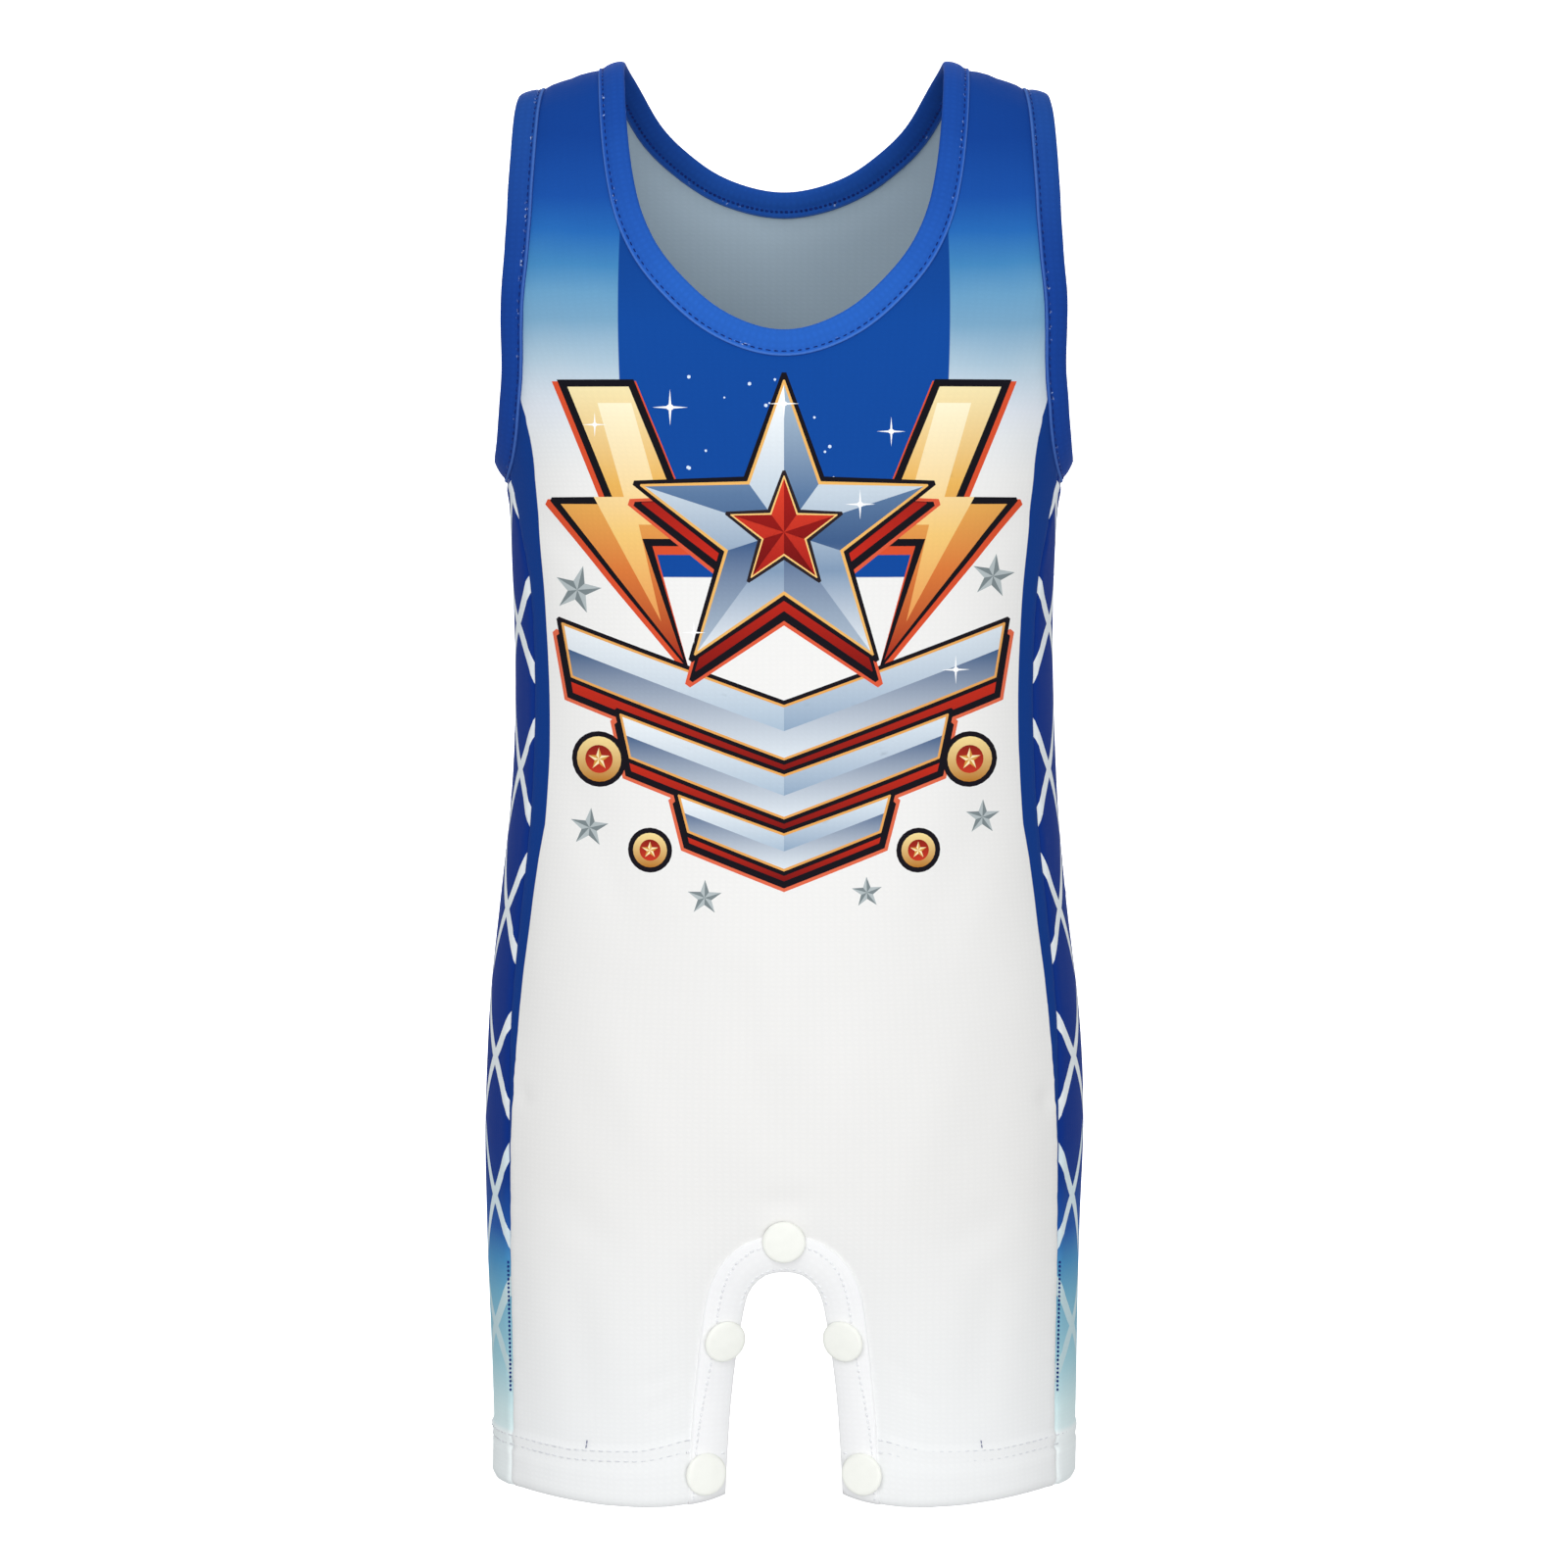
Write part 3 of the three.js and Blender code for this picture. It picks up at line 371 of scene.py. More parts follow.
def sheet(outline, step, fine_boxes=(), shapes=(), levels=()):
    """Even triangles inside an outline of places, with shapes printed in it as edges of the mesh.

    Returns the places, the faces, and for each face the number of the last shape that holds it.
    """
    plane = ring_points(on_plane(outline), step * 1.6)
    around = np.vstack([plane, plane[:1]])
    middle = plane.mean(0)
    sideways = np.roll(plane, -1, axis=0) - np.roll(plane, 1, axis=0)
    inward = unit(np.column_stack([-sideways[:, 1], sideways[:, 0]]))
    if not inside(plane[:1] + inward[:1] * 0.05, plane)[0]:
        inward = -inward
    lines = [plane + inward * depth for depth in (0.45, 1.0, 1.8)]
    lines = [line[inside(line, plane) & (line_distance(line, around) > 0.4)] for line in lines]
    low, high = plane.min(0), plane.max(0)
    spots = []
    for size, (bottom, top) in [(step, (low, high)), *fine_boxes]:
        for k, y in enumerate(np.arange(bottom[1], top[1], size * 0.866)):
            x = np.arange(bottom[0], top[0], size) + (k % 2) * size / 2
            spots.append(np.column_stack([x, np.full(len(x), y), np.full(len(x), size)]))
    grid = np.vstack(spots)
    for size, box in fine_boxes:
        held = np.all((grid[:, :2] > box[0]) & (grid[:, :2] < box[1]), axis=1)
        grid = grid[~held | (grid[:, 2] <= size)]
    for y in levels:
        grid = grid[np.abs(grid[:, 1] - y) > step * 0.3]
        x = np.arange(low[0], high[0], step)
        grid = np.vstack([grid, np.column_stack([x, np.full(len(x), y), np.full(len(x), step)])])
    grid = grid[inside(grid[:, :2], plane)]
    grid = grid[line_distance(grid[:, :2], around) > 1.8 + 0.35 * step]
    drawn = [ring_points(on_plane(shape), 3.0) for shape in shapes]
    points = [plane, *lines, grid[:, :2], *drawn]
    starts = np.cumsum([0] + [len(item) for item in points])
    edges = [(i, (i + 1) % len(plane)) for i in range(len(plane))]
    for k, shape in enumerate(drawn):
        first = starts[len(lines) + 2 + k]
        edges.extend((int(first + i), int(first + (i + 1) % len(shape))) for i in range(len(shape)))
    loose = np.vstack(points) - middle
    result = delaunay_2d_cdt([Vector(p) for p in loose], edges, [], 0, 1e-5)
    flat = np.array([tuple(p) for p in result[0]]) + middle
    faces = np.array([face for face in result[2] if len(face) == 3])
    centres = flat[faces].mean(1)
    kept = inside(centres, plane)
    faces, centres = faces[kept], centres[kept]
    ink = np.full(len(faces), -1)
    for k, shape in enumerate(drawn):
        near = np.all((centres > shape.min(0)) & (centres < shape.max(0)), axis=1)
        index = np.flatnonzero(near)
        ink[index[inside(centres[index], shape)]] = k
    used = np.unique(faces)
    renumber = np.zeros(len(flat), int)
    renumber[used] = np.arange(len(used))
    return off_plane(flat[used]), renumber[faces], ink, line_distance(flat[used], around)


def linear(code):
    """Linear colour of an sRGB hex code."""
    parts = [int(code[i:i + 2], 16) / 255 for i in (0, 2, 4)]
    return [c / 12.92 if c <= 0.04045 else ((c + 0.055) / 1.055) ** 2.4 for c in parts] + [1.0]


def make_mesh(name, points, faces):
    """Object from points in millimetres, faces turned outward, at the origin."""
    mesh = bpy.data.meshes.new(name)
    mesh.from_pydata((np.asarray(points) * 0.001).tolist(), [], [list(map(int, f)) for f in faces])
    mesh.validate()
    mesh.shade_smooth()
    item = bpy.data.objects.new(name, mesh)
    bpy.context.scene.collection.objects.link(item)
    return item


def add_floats(item, name, domain, values):
    kind = "FLOAT" if np.ndim(values) == 1 else "FLOAT_VECTOR"
    layer = item.data.attributes.new(name, kind, domain)
    key = "value" if kind == "FLOAT" else "vector"
    layer.data.foreach_set(key, np.asarray(values, np.float32).ravel())


def lay_flat(item, coords):
    """UV map of the cloth, one unit for 100 millimetres, from the flat place of every point."""
    index = np.empty(len(item.data.loops), int)
    item.data.loops.foreach_get("vertex_index", index)
    uv = item.data.uv_layers.new(name="cloth")
    uv.data.foreach_set("uv", (coords[index] / 100).astype(np.float32).ravel())


def face_directions(points, faces):
    corner = points[faces]
    return np.cross(corner[:, 1] - corner[:, 0], corner[:, 2] - corner[:, 0])


def faced_outward(points, out, faces):
    flip = dots(face_directions(points, faces), out[faces].sum(1)) < 0
    return np.where(flip[:, None], faces[:, ::-1], faces)


def face_edges(faces):
    edges = np.vstack([faces[:, [0, 1]], faces[:, [1, 2]], faces[:, [2, 0]]])
    return {(int(a), int(b)) for a, b in edges}


def cloth_wall(name, outer, out, faces, flat, ink=None, paint=None):
    """Thin wall of cloth: outer face, inner face and a rim round every free edge.

    out holds the outward directions; ink and paint colour the outer faces, corner by corner.
    """
    faces = faced_outward(outer, out, faces)
    count = len(outer)
    pairs = face_edges(faces)
    quads = [[b, a, a + count, b + count] for a, b in sorted(pairs) if (b, a) not in pairs]
    both = np.vstack([outer, outer - out * CLOTH_THICKNESS])
    item = make_mesh(name, both, [*faces, *(faces[:, ::-1] + count), *quads])
    reverse = np.concatenate([np.zeros(len(faces)), np.ones(len(faces)), np.zeros(len(quads))])
    add_floats(item, "reverse", "FACE", reverse)
    lay_flat(item, np.tile(flat, (2, 1)))
    colours = np.zeros((len(item.data.loops), 4), np.float32)
    if paint is not None:
        xz = outer[faces][:, :, [0, 2]]
        for k in np.unique(ink[ink >= 0]):
            chosen = np.flatnonzero(ink == k)
            corners = (chosen[:, None] * 3 + np.arange(3)).ravel()
            colours[corners] = paint(k, xz[chosen].reshape(-1, 2))
    layer = item.data.color_attributes.new("print", "FLOAT_COLOR", "CORNER")
    layer.data.foreach_set("color", colours.ravel())
    return item


def bump(distance, width):
    return np.exp(-(distance / width) ** 2)


def creases(x, z, table):
    """Soft troughs, or ridges where depth is above 0, that die away toward both ends."""
    total = np.zeros(len(x))
    for start, end, width, depth in table:
        along = np.array(end, float) - start
        step = np.column_stack([x, z]) - start
        t = np.clip(step @ along / (along @ along), 0, 1)
        gap = np.hypot(*(step - t[:, None] * along).T)
        total += depth * bump(gap, width) * np.sin(np.pi * t) ** 0.7
    return total


def pucker(along, pitch, seed):
    """Uneven gathering along a seam, from waves of several lengths."""
    dice = random.Random(seed)
    total = np.zeros(len(along))
    for k, share in ((1.0, 0.5), (1.63, 0.3), (2.7, 0.2)):
        total += share * np.sin(along * 2 * math.pi * k / pitch + dice.uniform(0, 6.28))
    return total


def arm_and_side(arm, angle_at, shift):
    """Armhole edge of a panel down to where it meets the side seam, and the seam from there."""
    stop, corner = crossing(arm, angle_at, shift)
    return np.vstack([arm[:stop], corner]), seam_line(angle_at, corner[1], shift)


def half_outline(neck, arm, seam, low_edge, steps):
    """Left half of a panel, from the middle of the neck round to the middle between the legs."""
    shoulder = join(neck[-1], arm[0], 6)
    hem = join(seam[-1], low_edge[0], steps)
    return np.vstack([neck, shoulder, arm, seam, hem, low_edge])


HALF_NECK = (len(neck_line(0)) + 2) // 2
neck_seam = neck_line(BINDING_SEAM)
arm_seam = arm_line(BINDING_SEAM)
arch_places = locate(*ARCH.T)
placket_seam = beside(arch_places, PLACKET_SEAM, -1, False)
neck_front = clip_at_ridge(neck_seam[:HALF_NECK], True)
arm_front, seam_front = arm_and_side(clip_at_ridge(arm_seam[::-1], True), seam_angle, -SEAM_HALF)
front_half = half_outline(neck_front, arm_front, seam_front, placket_seam[len(ARCH) // 2:][::-1], 30)
front_outline = np.vstack([front_half, mirrored(front_half[-2:0:-1])])

# The chest print is a plain design of our own: a large chrome star over two bolts, three chrome
# chevrons, gold discs and small stars. Every shape is a flat outline seen from the front.
prints = []


def star_points(x, z, radius, points=5, waist=0.4, turn=0.0):
    found = []
    for k in range(points * 2):
        reach = radius if k % 2 == 0 else radius * waist
        angle = math.pi * k / points + turn
        found.append([x + reach * math.sin(angle), z + reach * math.cos(angle)])
    return np.array(found)


def grown(outline, distance):
    """Outline moved outward all round, its sharp points cut off."""
    outline = np.asarray(outline, float)
    ahead = unit(np.roll(outline, -1, axis=0) - outline)
    area = np.sum(outline[:, 0] * np.roll(outline[:, 1], -1) - outline[:, 1] * np.roll(outline[:, 0], -1))
    out = np.column_stack([ahead[:, 1], -ahead[:, 0]]) * np.sign(area)
    found = []
    for i, point in enumerate(outline):
        a, b = out[i - 1], out[i]
        across = a + b
        reach = distance / max(0.2, 1 + a @ b)
        turn = (a[0] * b[1] - a[1] * b[0]) * np.sign(area)
        if turn > 0 and np.linalg.norm(across * reach) > 1.9 * distance:
            side = unit(across[None])[0] * distance * 1.9
            middle = point + side * 0.75
            found.extend([middle + a * distance * 0.3, middle + b * distance * 0.3])
        else:
            found.append(point + across * reach)
    return np.array(found)


def add_print(outline, ink):
    """One printed shape; ink is a colour, or heights in millimetres and the colours at them."""
    heights, codes = ([0], [ink]) if isinstance(ink, str) else ink
    order = np.argsort(heights)
    colours = np.array([linear(code) for code in codes])
    prints.append((np.asarray(outline, float), np.array(heights, float)[order], colours[order]))


def add_star(x, z, radius, light, dark, turn=0.0):
    """Faceted star of ten triangles, each arm light on one side and dark on the other."""
    tips = star_points(x, z, radius, turn=turn)
    for k in range(10):
        facet = [[x, z], tips[k], tips[(k + 1) % 10]]
        add_print(facet, light if k % 2 else dark)


ROUND = np.array([[math.sin(k * math.pi / 12), math.cos(k * math.pi / 12)] for k in range(24)])
dice = random.Random(11)
for _ in range(40):
    x = dice.uniform(-44, 44)
    z = dice.uniform(-148, -94)
    add_print(ROUND[::4] * dice.choice((0.3, 0.4, 0.55)) + [x, z], "D6E6FA")
for side in (-1, 1):
    bolt = np.array([[63, -97], [45, -97], [27, -141], [41, -141], [29, -176], [65, -131], [49, -131]])
    bolt = bolt * [side, 1]
    add_print(grown(bolt, 3.1) + [0, -1.5], "D8502F")
    add_print(grown(bolt, 2.1), "14131A")
    add_print(bolt, ([-97, -125, -150, -176], ["F3E3B0", "E9B45C", "D97A3C", "A3271F"]))
    inner = bolt.mean(0) + (bolt - bolt.mean(0)) * [0.55, 0.8] + [side * -1, 2]
    add_print(inner, ([-100, -140, -170], ["FBF3D2", "F3C878", "E48B4A"]))
for half, top, deep, lift in ((64, -189.5, 14.5, 5.0), (47, -209.5, 11.5, 4.2), (30, -226.5, 9.5, 3.6)):
    rise = 0.36 * half
    high, fold, low = [np.array([[half - 2.5 * share, top + rise - deep * share], [0, top - deep * share]])
                       for share in (0, 0.47, 1)]
    chevron = np.array([mirrored(high[0]), high[1], high[0], low[0], low[1], mirrored(low[0])])
    lower = chevron - [0, lift]
    add_print(grown(lower, 2.9), "E0694A")
    add_print(grown(lower, 1.9), "17141B")
    add_print(lower, ([top - deep - lift, top - deep + rise], ["7A1616", "C8301F"]))
    add_print(grown(chevron, 1.9), "17141B")
    add_print(grown(chevron, 0.7), "E7A65A")
    for side, shade in ((-1, ["EEF3F6", "A9BDD0"]), (1, ["DCE6EE", "8FA6BF"])):
        add_print(np.array([high[1], high[0], *fold]) * [side, 1], ([top + rise, fold[1, 1]], shade))
        add_print(np.array([fold[1], fold[0], *low]) * [side, 1],
                  ([top + rise * 0.7, low[1, 1]], ["3F5D86", "DCE4EB"]))
big = star_points(0, -139, 42.5)
add_print(grown(big - [0, 6], 3.2), "DC5A3C")
add_print(grown(big - [0, 6], 2.1), "17141B")
add_print(grown(big - [0, 5], 0.6), ([-185, -150, -120], ["6D1212", "C62B1E", "8E1B18"]))
add_print(grown(big, 2.3), "17141B")
add_print(grown(big, 0.9), "EDB565")
add_star(0, -139, 42.5, ([-97, -128, -150, -176], ["F7FAFB", "C3D0DC", "7F97B3", "E9EEF2"]),
         ([-97, -128, -142, -176], ["A9BCCD", "5B789D", "3E5B86", "B4C3D1"]))
small = star_points(0, -139, 15.5)
add_print(grown(small, 1.5), "2A2226")
add_print(grown(small, 0.5), "F4C77A")
add_star(0, -139, 15.5, ([-126, -152], ["D9402B", "A51E1B"]),
         ([-126, -152], ["A01D1A", "6A1213"]))
for x, z, size in ((54, -205, 6.6), (39, -231, 5.0), (-54, -205, 6.6), (-39, -231, 5.0)):
    add_print(ROUND * (size + 1.5) + [x, z], "17141B")
    add_print(ROUND * size + [x, z], ([z - size, z + size], ["B9772B", "F8DF9B"]))
    add_print(ROUND * size * 0.62 + [x, z], ([z - size, z + size], ["D9402B", "6D1212"]))
    add_star(x, z, size * 0.5, "FBE9B8", "D79B45")
for x, z, size in ((61, -152, 6.6), (-60, -156, 7.2), (58, -222, 5.2), (-57, -225, 5.8),
                   (24, -243, 4.6), (-23, -244.5, 5.2)):
    add_star(x, z, size, "B4BDBF", "7D888B", turn=0.1 * (size - 5))
for x, z, size in ((-33, -103, 5.2), (31, -110, 4.2), (0, -102, 4.4), (-26, -168, 3.4), (22, -131, 4.4),
                   (50, -179, 4.2), (-55, -108, 3.6)):
    add_print(star_points(x, z, size, points=4, waist=0.11), "FDFEFF")
    add_print(ROUND[::4] * size * 0.2 + [x, z], "FFFFFF")
print_places = [locate(*ring_points(outline, 3.0).T) for outline, _, _ in prints]


def paint_front(k, xz):
    _, heights, colours = prints[k]
    return np.column_stack([np.interp(xz[:, 1], heights, channel) for channel in colours.T])


# Print edge of the blue strip beside the side panel: row, angle from the centre front
STRIP_EDGE = np.array([
    [7.4, 54.0], [8.1, 57.9], [8.6, 59.3], [9.2, 58.9], [9.55, 58.7], [10.1, 57.9], [10.6, 57.2],
    [11.28, 57.0], [11.57, 58.3], [11.92, 59.2], [12.2, 59.7], [12.55, 60.5], [12.94, 60.9],
    [13.83, 61.4], [14.43, 61.9], [15.0, 62.6], [15.4, 64.0], [18.0, 66.0],
])
FINE_BOX = on_plane(locate([-67, 67], [-92, -250]))
# Levels at which the turned hem changes shape, so that the mesh has points there
HEM_MARKS = -403.5 - np.array([0.9, 1.7, 2.5, 3.3, 4.4, 5.0, 5.5, 6.0, 6.6, 7.4, 14.0, 14.6])
hem_levels = on_plane(locate(np.zeros(len(HEM_MARKS)), HEM_MARKS))[:, 1]
places, faces, ink, rim = sheet(front_outline, 2.3, [(1.5, FINE_BOX)], print_places, hem_levels)
flat = on_plane(places)
form = skin(places)
x, z = form[:, 0], form[:, 2]


def seam_relief(flat, x, z, seams, turn, seed):
    """Cloth drawn in along the neck, armhole, side and shoulder seams and puffed up beside them."""
    gaps = []
    for line in seams:
        twin = mirrored(line) + [turn, 0]
        gaps.append(np.minimum(*[line_distance(flat, on_plane(side)) for side in (line, twin)]))
    neck_gap, arm_gap, side_gap = gaps
    shoulder_gap = np.abs(flat[:, 1])
    total = -0.5 * np.exp(-neck_gap / 1.1)
    total += (0.3 + 0.22 * pucker(z * 0.8 + x, 8.0, seed)) * bump(neck_gap - 3, 2.4)
    total += -0.5 * np.exp(-arm_gap / 1.1)
    total += (0.25 + 0.2 * pucker(z, 8.5, seed + 1)) * bump(arm_gap - 3, 2.4)
    total += -0.6 * np.exp(-side_gap / 0.7)
    total += (0.2 + 0.18 * pucker(z, 10.0, seed + 2)) * bump(side_gap - 2.6, 2.2)
    return total - 0.6 * np.exp(-shoulder_gap / 0.7) + 0.2 * bump(shoulder_gap - 2.4, 2.0)


def hem_relief(z, along, seed):
    """Turned hem: a rolled ridge along the stitches, a narrow groove below it and a full foot."""
    wave = 0.5 * pucker(along, 9.0, seed)
    below = HEM_TOP - z
    ridge = (0.5 + 0.15 * wave) * smooth((below + 0.9) / 2.2) * (1 - smooth((below - 2.5) / 1.2))
    groove = -(0.5 + 0.2 * wave) * bump(below - 3.9, 0.7)
    foot = 0.42 * smooth((below - 3.9) / 1.6) - 0.9 * smooth((-z - 419.6) / 2.2)
    return ridge + groove + foot + 0.2 * wave * bump(below - 8, 5)


def foot_drop(spread):
    places = [16.8, 20, 23, 27, 34, 42, 53, 63, 78]
    return np.interp(spread, places, [0.7, -0.3, -1.0, -1.7, -2.4, -2.65, -2.4, -1.6, 0.0])


def hem_drop(x, z):
    """How far the cut hem and the top of the turned hem hang below or stand above a level line."""
    spread = np.abs(x)
    top = np.interp(spread, [20, 29, 36, 42, 53, 63, 78], [3.0, 2.4, 0.4, -0.9, -1.3, -1.5, 0.0])
    low = smooth((HEM_TOP - z) / 14)
    return (top + (foot_drop(spread) - top) * low) * smooth((-360 - z) / 42)


# Creases: x, z of one end, x, z of the other, width, depth; the two sides differ a little
FRONT_CREASES = [
    ((28.5, -380), (40, -389), 2.3, -0.75), ((30, -387.5), (43, -392.5), 2.0, -0.6),
    ((31, -383.5), (42, -390.5), 1.8, 0.4), ((-28, -383), (-42, -389), 2.4, -0.65),
    ((-30, -389), (-39, -396), 2.1, -0.7), ((-29, -386), (-41, -392.5), 1.7, 0.35),
    ((-79.5, -301), (-76.5, -308), 2.6, -1.25), ((79.5, -302), (76.5, -309), 2.6, -1.2),
    ((-14, -262), (-5, -318), 6.0, -0.9), ((11, -268), (4, -325), 7.0, -0.8),
    ((-8, -334), (8, -334.5), 3.6, -1.0), ((-2, -290), (3, -338), 8.0, -0.9),
    ((-70, -330), (-46, -352), 6.5, -0.5), ((68, -336), (44, -350), 6.0, -0.45),
    ((60, -352), (56, -398), 5.5, -0.6), ((-62, -348), (-57, -400), 6.0, -0.6),
    ((-75, -132), (-52, -152), 4.5, -0.5), ((75, -130), (55, -146), 5.0, -0.45),
    ((-66, -200), (-40, -262), 7.0, -0.6), ((64, -206), (38, -268), 8.0, -0.6),
    ((-58, -270), (-30, -338), 9.0, 0.7), ((56, -276), (31, -342), 9.0, 0.7),
    ((24, -96), (47, -128), 5.0, -0.35), ((-22, -95), (-48, -132), 6.0, -0.35),
    ((52, -52), (55, -96), 4.5, -0.3), ((-53, -48), (-56, -92), 5.0, -0.3),
]
height = 0.35 * np.sin(x / 13.0 + 1.1) * bump(z + 235, 60) + 0.3 * np.sin(z / 17.0 + x / 31.0)
height = (height + creases(x, z, FRONT_CREASES)) * smooth(rim / 14)
height += seam_relief(flat, x, z, (neck_front, arm_front, seam_front), 0, 1)
placket_gap = line_distance(flat, on_plane(placket_seam))
height += (-0.4 + 0.15 * pucker(z * 1.1 + x, 7.0, 4)) * np.exp(-placket_gap / 2.0)
height += hem_relief(z, x, 5)
out = normal(places)
outer = form + out * height[:, None]
outer[:, 2] += hem_drop(x, z)
front_panel = cloth_wall("front_panel_cloth", outer, out, faces, flat, ink, paint_front)
strip_gap = np.interp(places[:, 1], STRIP_EDGE[:, 0], STRIP_EDGE[:, 1]) - np.abs(places[:, 0])
turn, _ = tangents(places)
strip_gap = strip_gap * np.linalg.norm(turn, axis=1)
add_floats(front_panel, "strip", "POINT", np.tile(strip_gap, 2))


def set_stops(ramp, stops):
    """Give a ramp its colours, from pairs of position and hex code."""
    while len(ramp.elements) < len(stops):
        ramp.elements.new(0.5)
    for element, (place, code) in zip(ramp.elements, stops):
        element.position = place
        element.color = linear(code)


def add_node(material, kind, inputs=(), **settings):
    """Add one shader node with its settings, and the stops of its ramp where it has one.

    An input is a number, a hex colour, a socket, or a node, which stands for its first live socket.
    """
    node = material.node_tree.nodes.new("ShaderNode" + kind)
    stops = settings.pop("stops", None)
    if stops:
        set_stops(node.color_ramp, stops)
    for name, value in settings.items():
        setattr(node, name, value)
    for name, value in dict(inputs).items():
        if isinstance(value, str):
            value = linear(value)
        if isinstance(value, bpy.types.Node):
            value = next(socket for socket in value.outputs if socket.enabled)
        if isinstance(value, bpy.types.NodeSocket):
            material.node_tree.links.new(value, node.inputs[name])
        else:
            node.inputs[name].default_value = value
    return node


def new_material(name):
    material = bpy.data.materials.new(name)
    material.use_nodes = True
    material.node_tree.nodes.clear()
    return material


# Input sockets of a colour mix
FACTOR, UNDER, OVER = 0, 6, 7


def mottled(material, scale, detail, stops):
    """Cloudy noise on Object coordinates, and the colours that it gives."""
    place = add_node(material, "TexCoord").outputs["Object"]
    cloud = add_node(material, "TexNoise", {"Scale": scale, "Detail": detail, 0: place})
    return cloud, add_node(material, "ValToRGB", {0: cloud}, stops=stops)


def knit(material, colour, gloss=0.82, mottle=0.015):
    """Surface of polyester interlock knit over a colour socket.

    Wales are 0.9 mm apart, twice the real pitch, so that they show at the size of the photo.
    """
    uv = add_node(material, "UVMap", uv_map="cloth")
    wales = add_node(material, "TexWave", {
        "Scale": 17.5, "Distortion": 1.2, "Detail": 2.0, "Detail Scale": 3.0,
        "Vector": uv}, bands_direction="X")
    courses = add_node(material, "TexWave", {
        "Scale": 22.0, "Distortion": 1.6, "Detail": 2.0, "Detail Scale": 4.0,
        "Vector": uv}, bands_direction="Y")
    place = add_node(material, "TexCoord").outputs["Object"]
    cloud = add_node(material, "TexNoise", {"Scale": 85.0, "Detail": 4.0, "Roughness": 0.6, "Vector": place})
    loops = add_node(material, "Math", {
        0: wales.outputs["Fac"], 1: courses.outputs["Fac"]}, operation="MULTIPLY")
    both = add_node(material, "Math", {0: cloud, 1: 0.6, 2: loops}, operation="MULTIPLY_ADD")
    shade = add_node(material, "MapRange", {
        "From Min": 0.1, "From Max": 1.1, "To Min": 1 - mottle, "To Max": 1 + mottle * 0.4, "Value": both})
    tint = add_node(material, "VectorMath", {0: colour, "Scale": shade}, operation="SCALE")
    relief = add_node(material, "Bump", {"Strength": 0.1, "Distance": 0.00025, "Height": both})
    cloth = add_node(material, "BsdfPrincipled", {
        "Roughness": gloss, "IOR": 1.5, "Specular IOR Level": 0.05, "Base Color": tint, "Normal": relief})
    add_node(material, "OutputMaterial", {"Surface": cloth})


def knit_with_print(material, ground):
    """Knit with the design in its "print" colours over a ground; its wrong side, white cloth, is painted
    grey-blue as shade.
    """
    design = add_node(material, "Attribute", attribute_name="print")
    share = design.outputs["Alpha"]
    with_print = add_node(material, "Mix", {FACTOR: share, UNDER: ground, OVER: design}, data_type="RGBA")
    reverse = add_node(material, "Attribute", attribute_name="reverse").outputs["Fac"]
    # Painted shade: the white wrong side is given a grey-blue colour
    both_faces = add_node(material, "Mix", {
        FACTOR: reverse, UNDER: with_print, OVER: "AABCC8"}, data_type="RGBA")
    knit(material, both_faces)


# Printed polyester: royal blue straps that fade to white by height, a blue block at the chest, a
# blue strip along each side, and the chest design, all on cloth that is white on its wrong side, painted
# grey-blue there as shade.
printed = new_material("printed_polyester_knit")
place = add_node(printed, "TexCoord").outputs["Object"]
axes = add_node(printed, "SeparateXYZ", {0: place})
up = axes.outputs["Z"]
haze = add_node(printed, "TexNoise", {"Scale": 22.0, "Detail": 3.0, 0: place})
lift = add_node(printed, "Math", {0: haze, 1: 0.008, 2: up}, operation="MULTIPLY_ADD")
fall = add_node(printed, "MapRange", {"From Min": -0.12, "From Max": 0.0, "Value": lift})
fade = add_node(printed, "ValToRGB", {0: fall}, stops=[
    (0.0, "EDEDEC"), (0.1, "E6E9EB"), (0.165, "DBE1E9"), (0.283, "AAC3D4"), (0.378, "78A4C3"),
    (0.449, "689DC3"), (0.522, "4385BA"), (0.605, "2668B3"), (0.689, "194FA3"), (0.836, "124193")])
body = add_node(printed, "TexNoise", {"Scale": 9.0, "Detail": 2.0, 0: place})
pale = add_node(printed, "ValToRGB", {0: body}, stops=[(0.35, "EDECEA"), (0.6, "F0EFED")])
foot = add_node(printed, "MapRange", {"From Min": -0.33, "From Max": -0.405, "Value": up})
paler = add_node(printed, "Mix", {FACTOR: foot, UNDER: pale, OVER: "F2F3F3"}, data_type="RGBA")
low = add_node(printed, "MapRange", {
    "From Min": -0.112, "From Max": -0.135, "Value": up}, interpolation_type="SMOOTHSTEP")
ground = add_node(printed, "Mix", {FACTOR: low, UNDER: fade, OVER: paler}, data_type="RGBA")
across = add_node(printed, "Math", {0: axes.outputs["X"]}, operation="ABSOLUTE")
from_widest = add_node(printed, "Math", {0: up, 1: 0.073}, operation="ADD")
narrowed = add_node(printed, "Math", {0: from_widest, 1: from_widest, 2: across}, operation="MULTIPLY_ADD")
block_side = add_node(printed, "MapRange", {"From Min": 0.0483, "From Max": 0.048, "Value": narrowed})
block_foot = add_node(printed, "MapRange", {"From Min": -0.1522, "From Max": -0.1519, "Value": up})
front_only = add_node(printed, "Math", {0: axes.outputs["Y"], 1: 0.0}, operation="LESS_THAN")
block = block_side
for limit in (block_foot, front_only):
    block = add_node(printed, "Math", {0: block, 1: limit}, operation="MULTIPLY")
top_blue = add_node(printed, "MapRange", {"From Min": -0.075, "From Max": -0.05, "Value": lift})
blues = add_node(printed, "Mix", {FACTOR: top_blue, UNDER: "10489B", OVER: "114390"}, data_type="RGBA")
strip = add_node(printed, "Attribute", attribute_name="strip").outputs["Fac"]
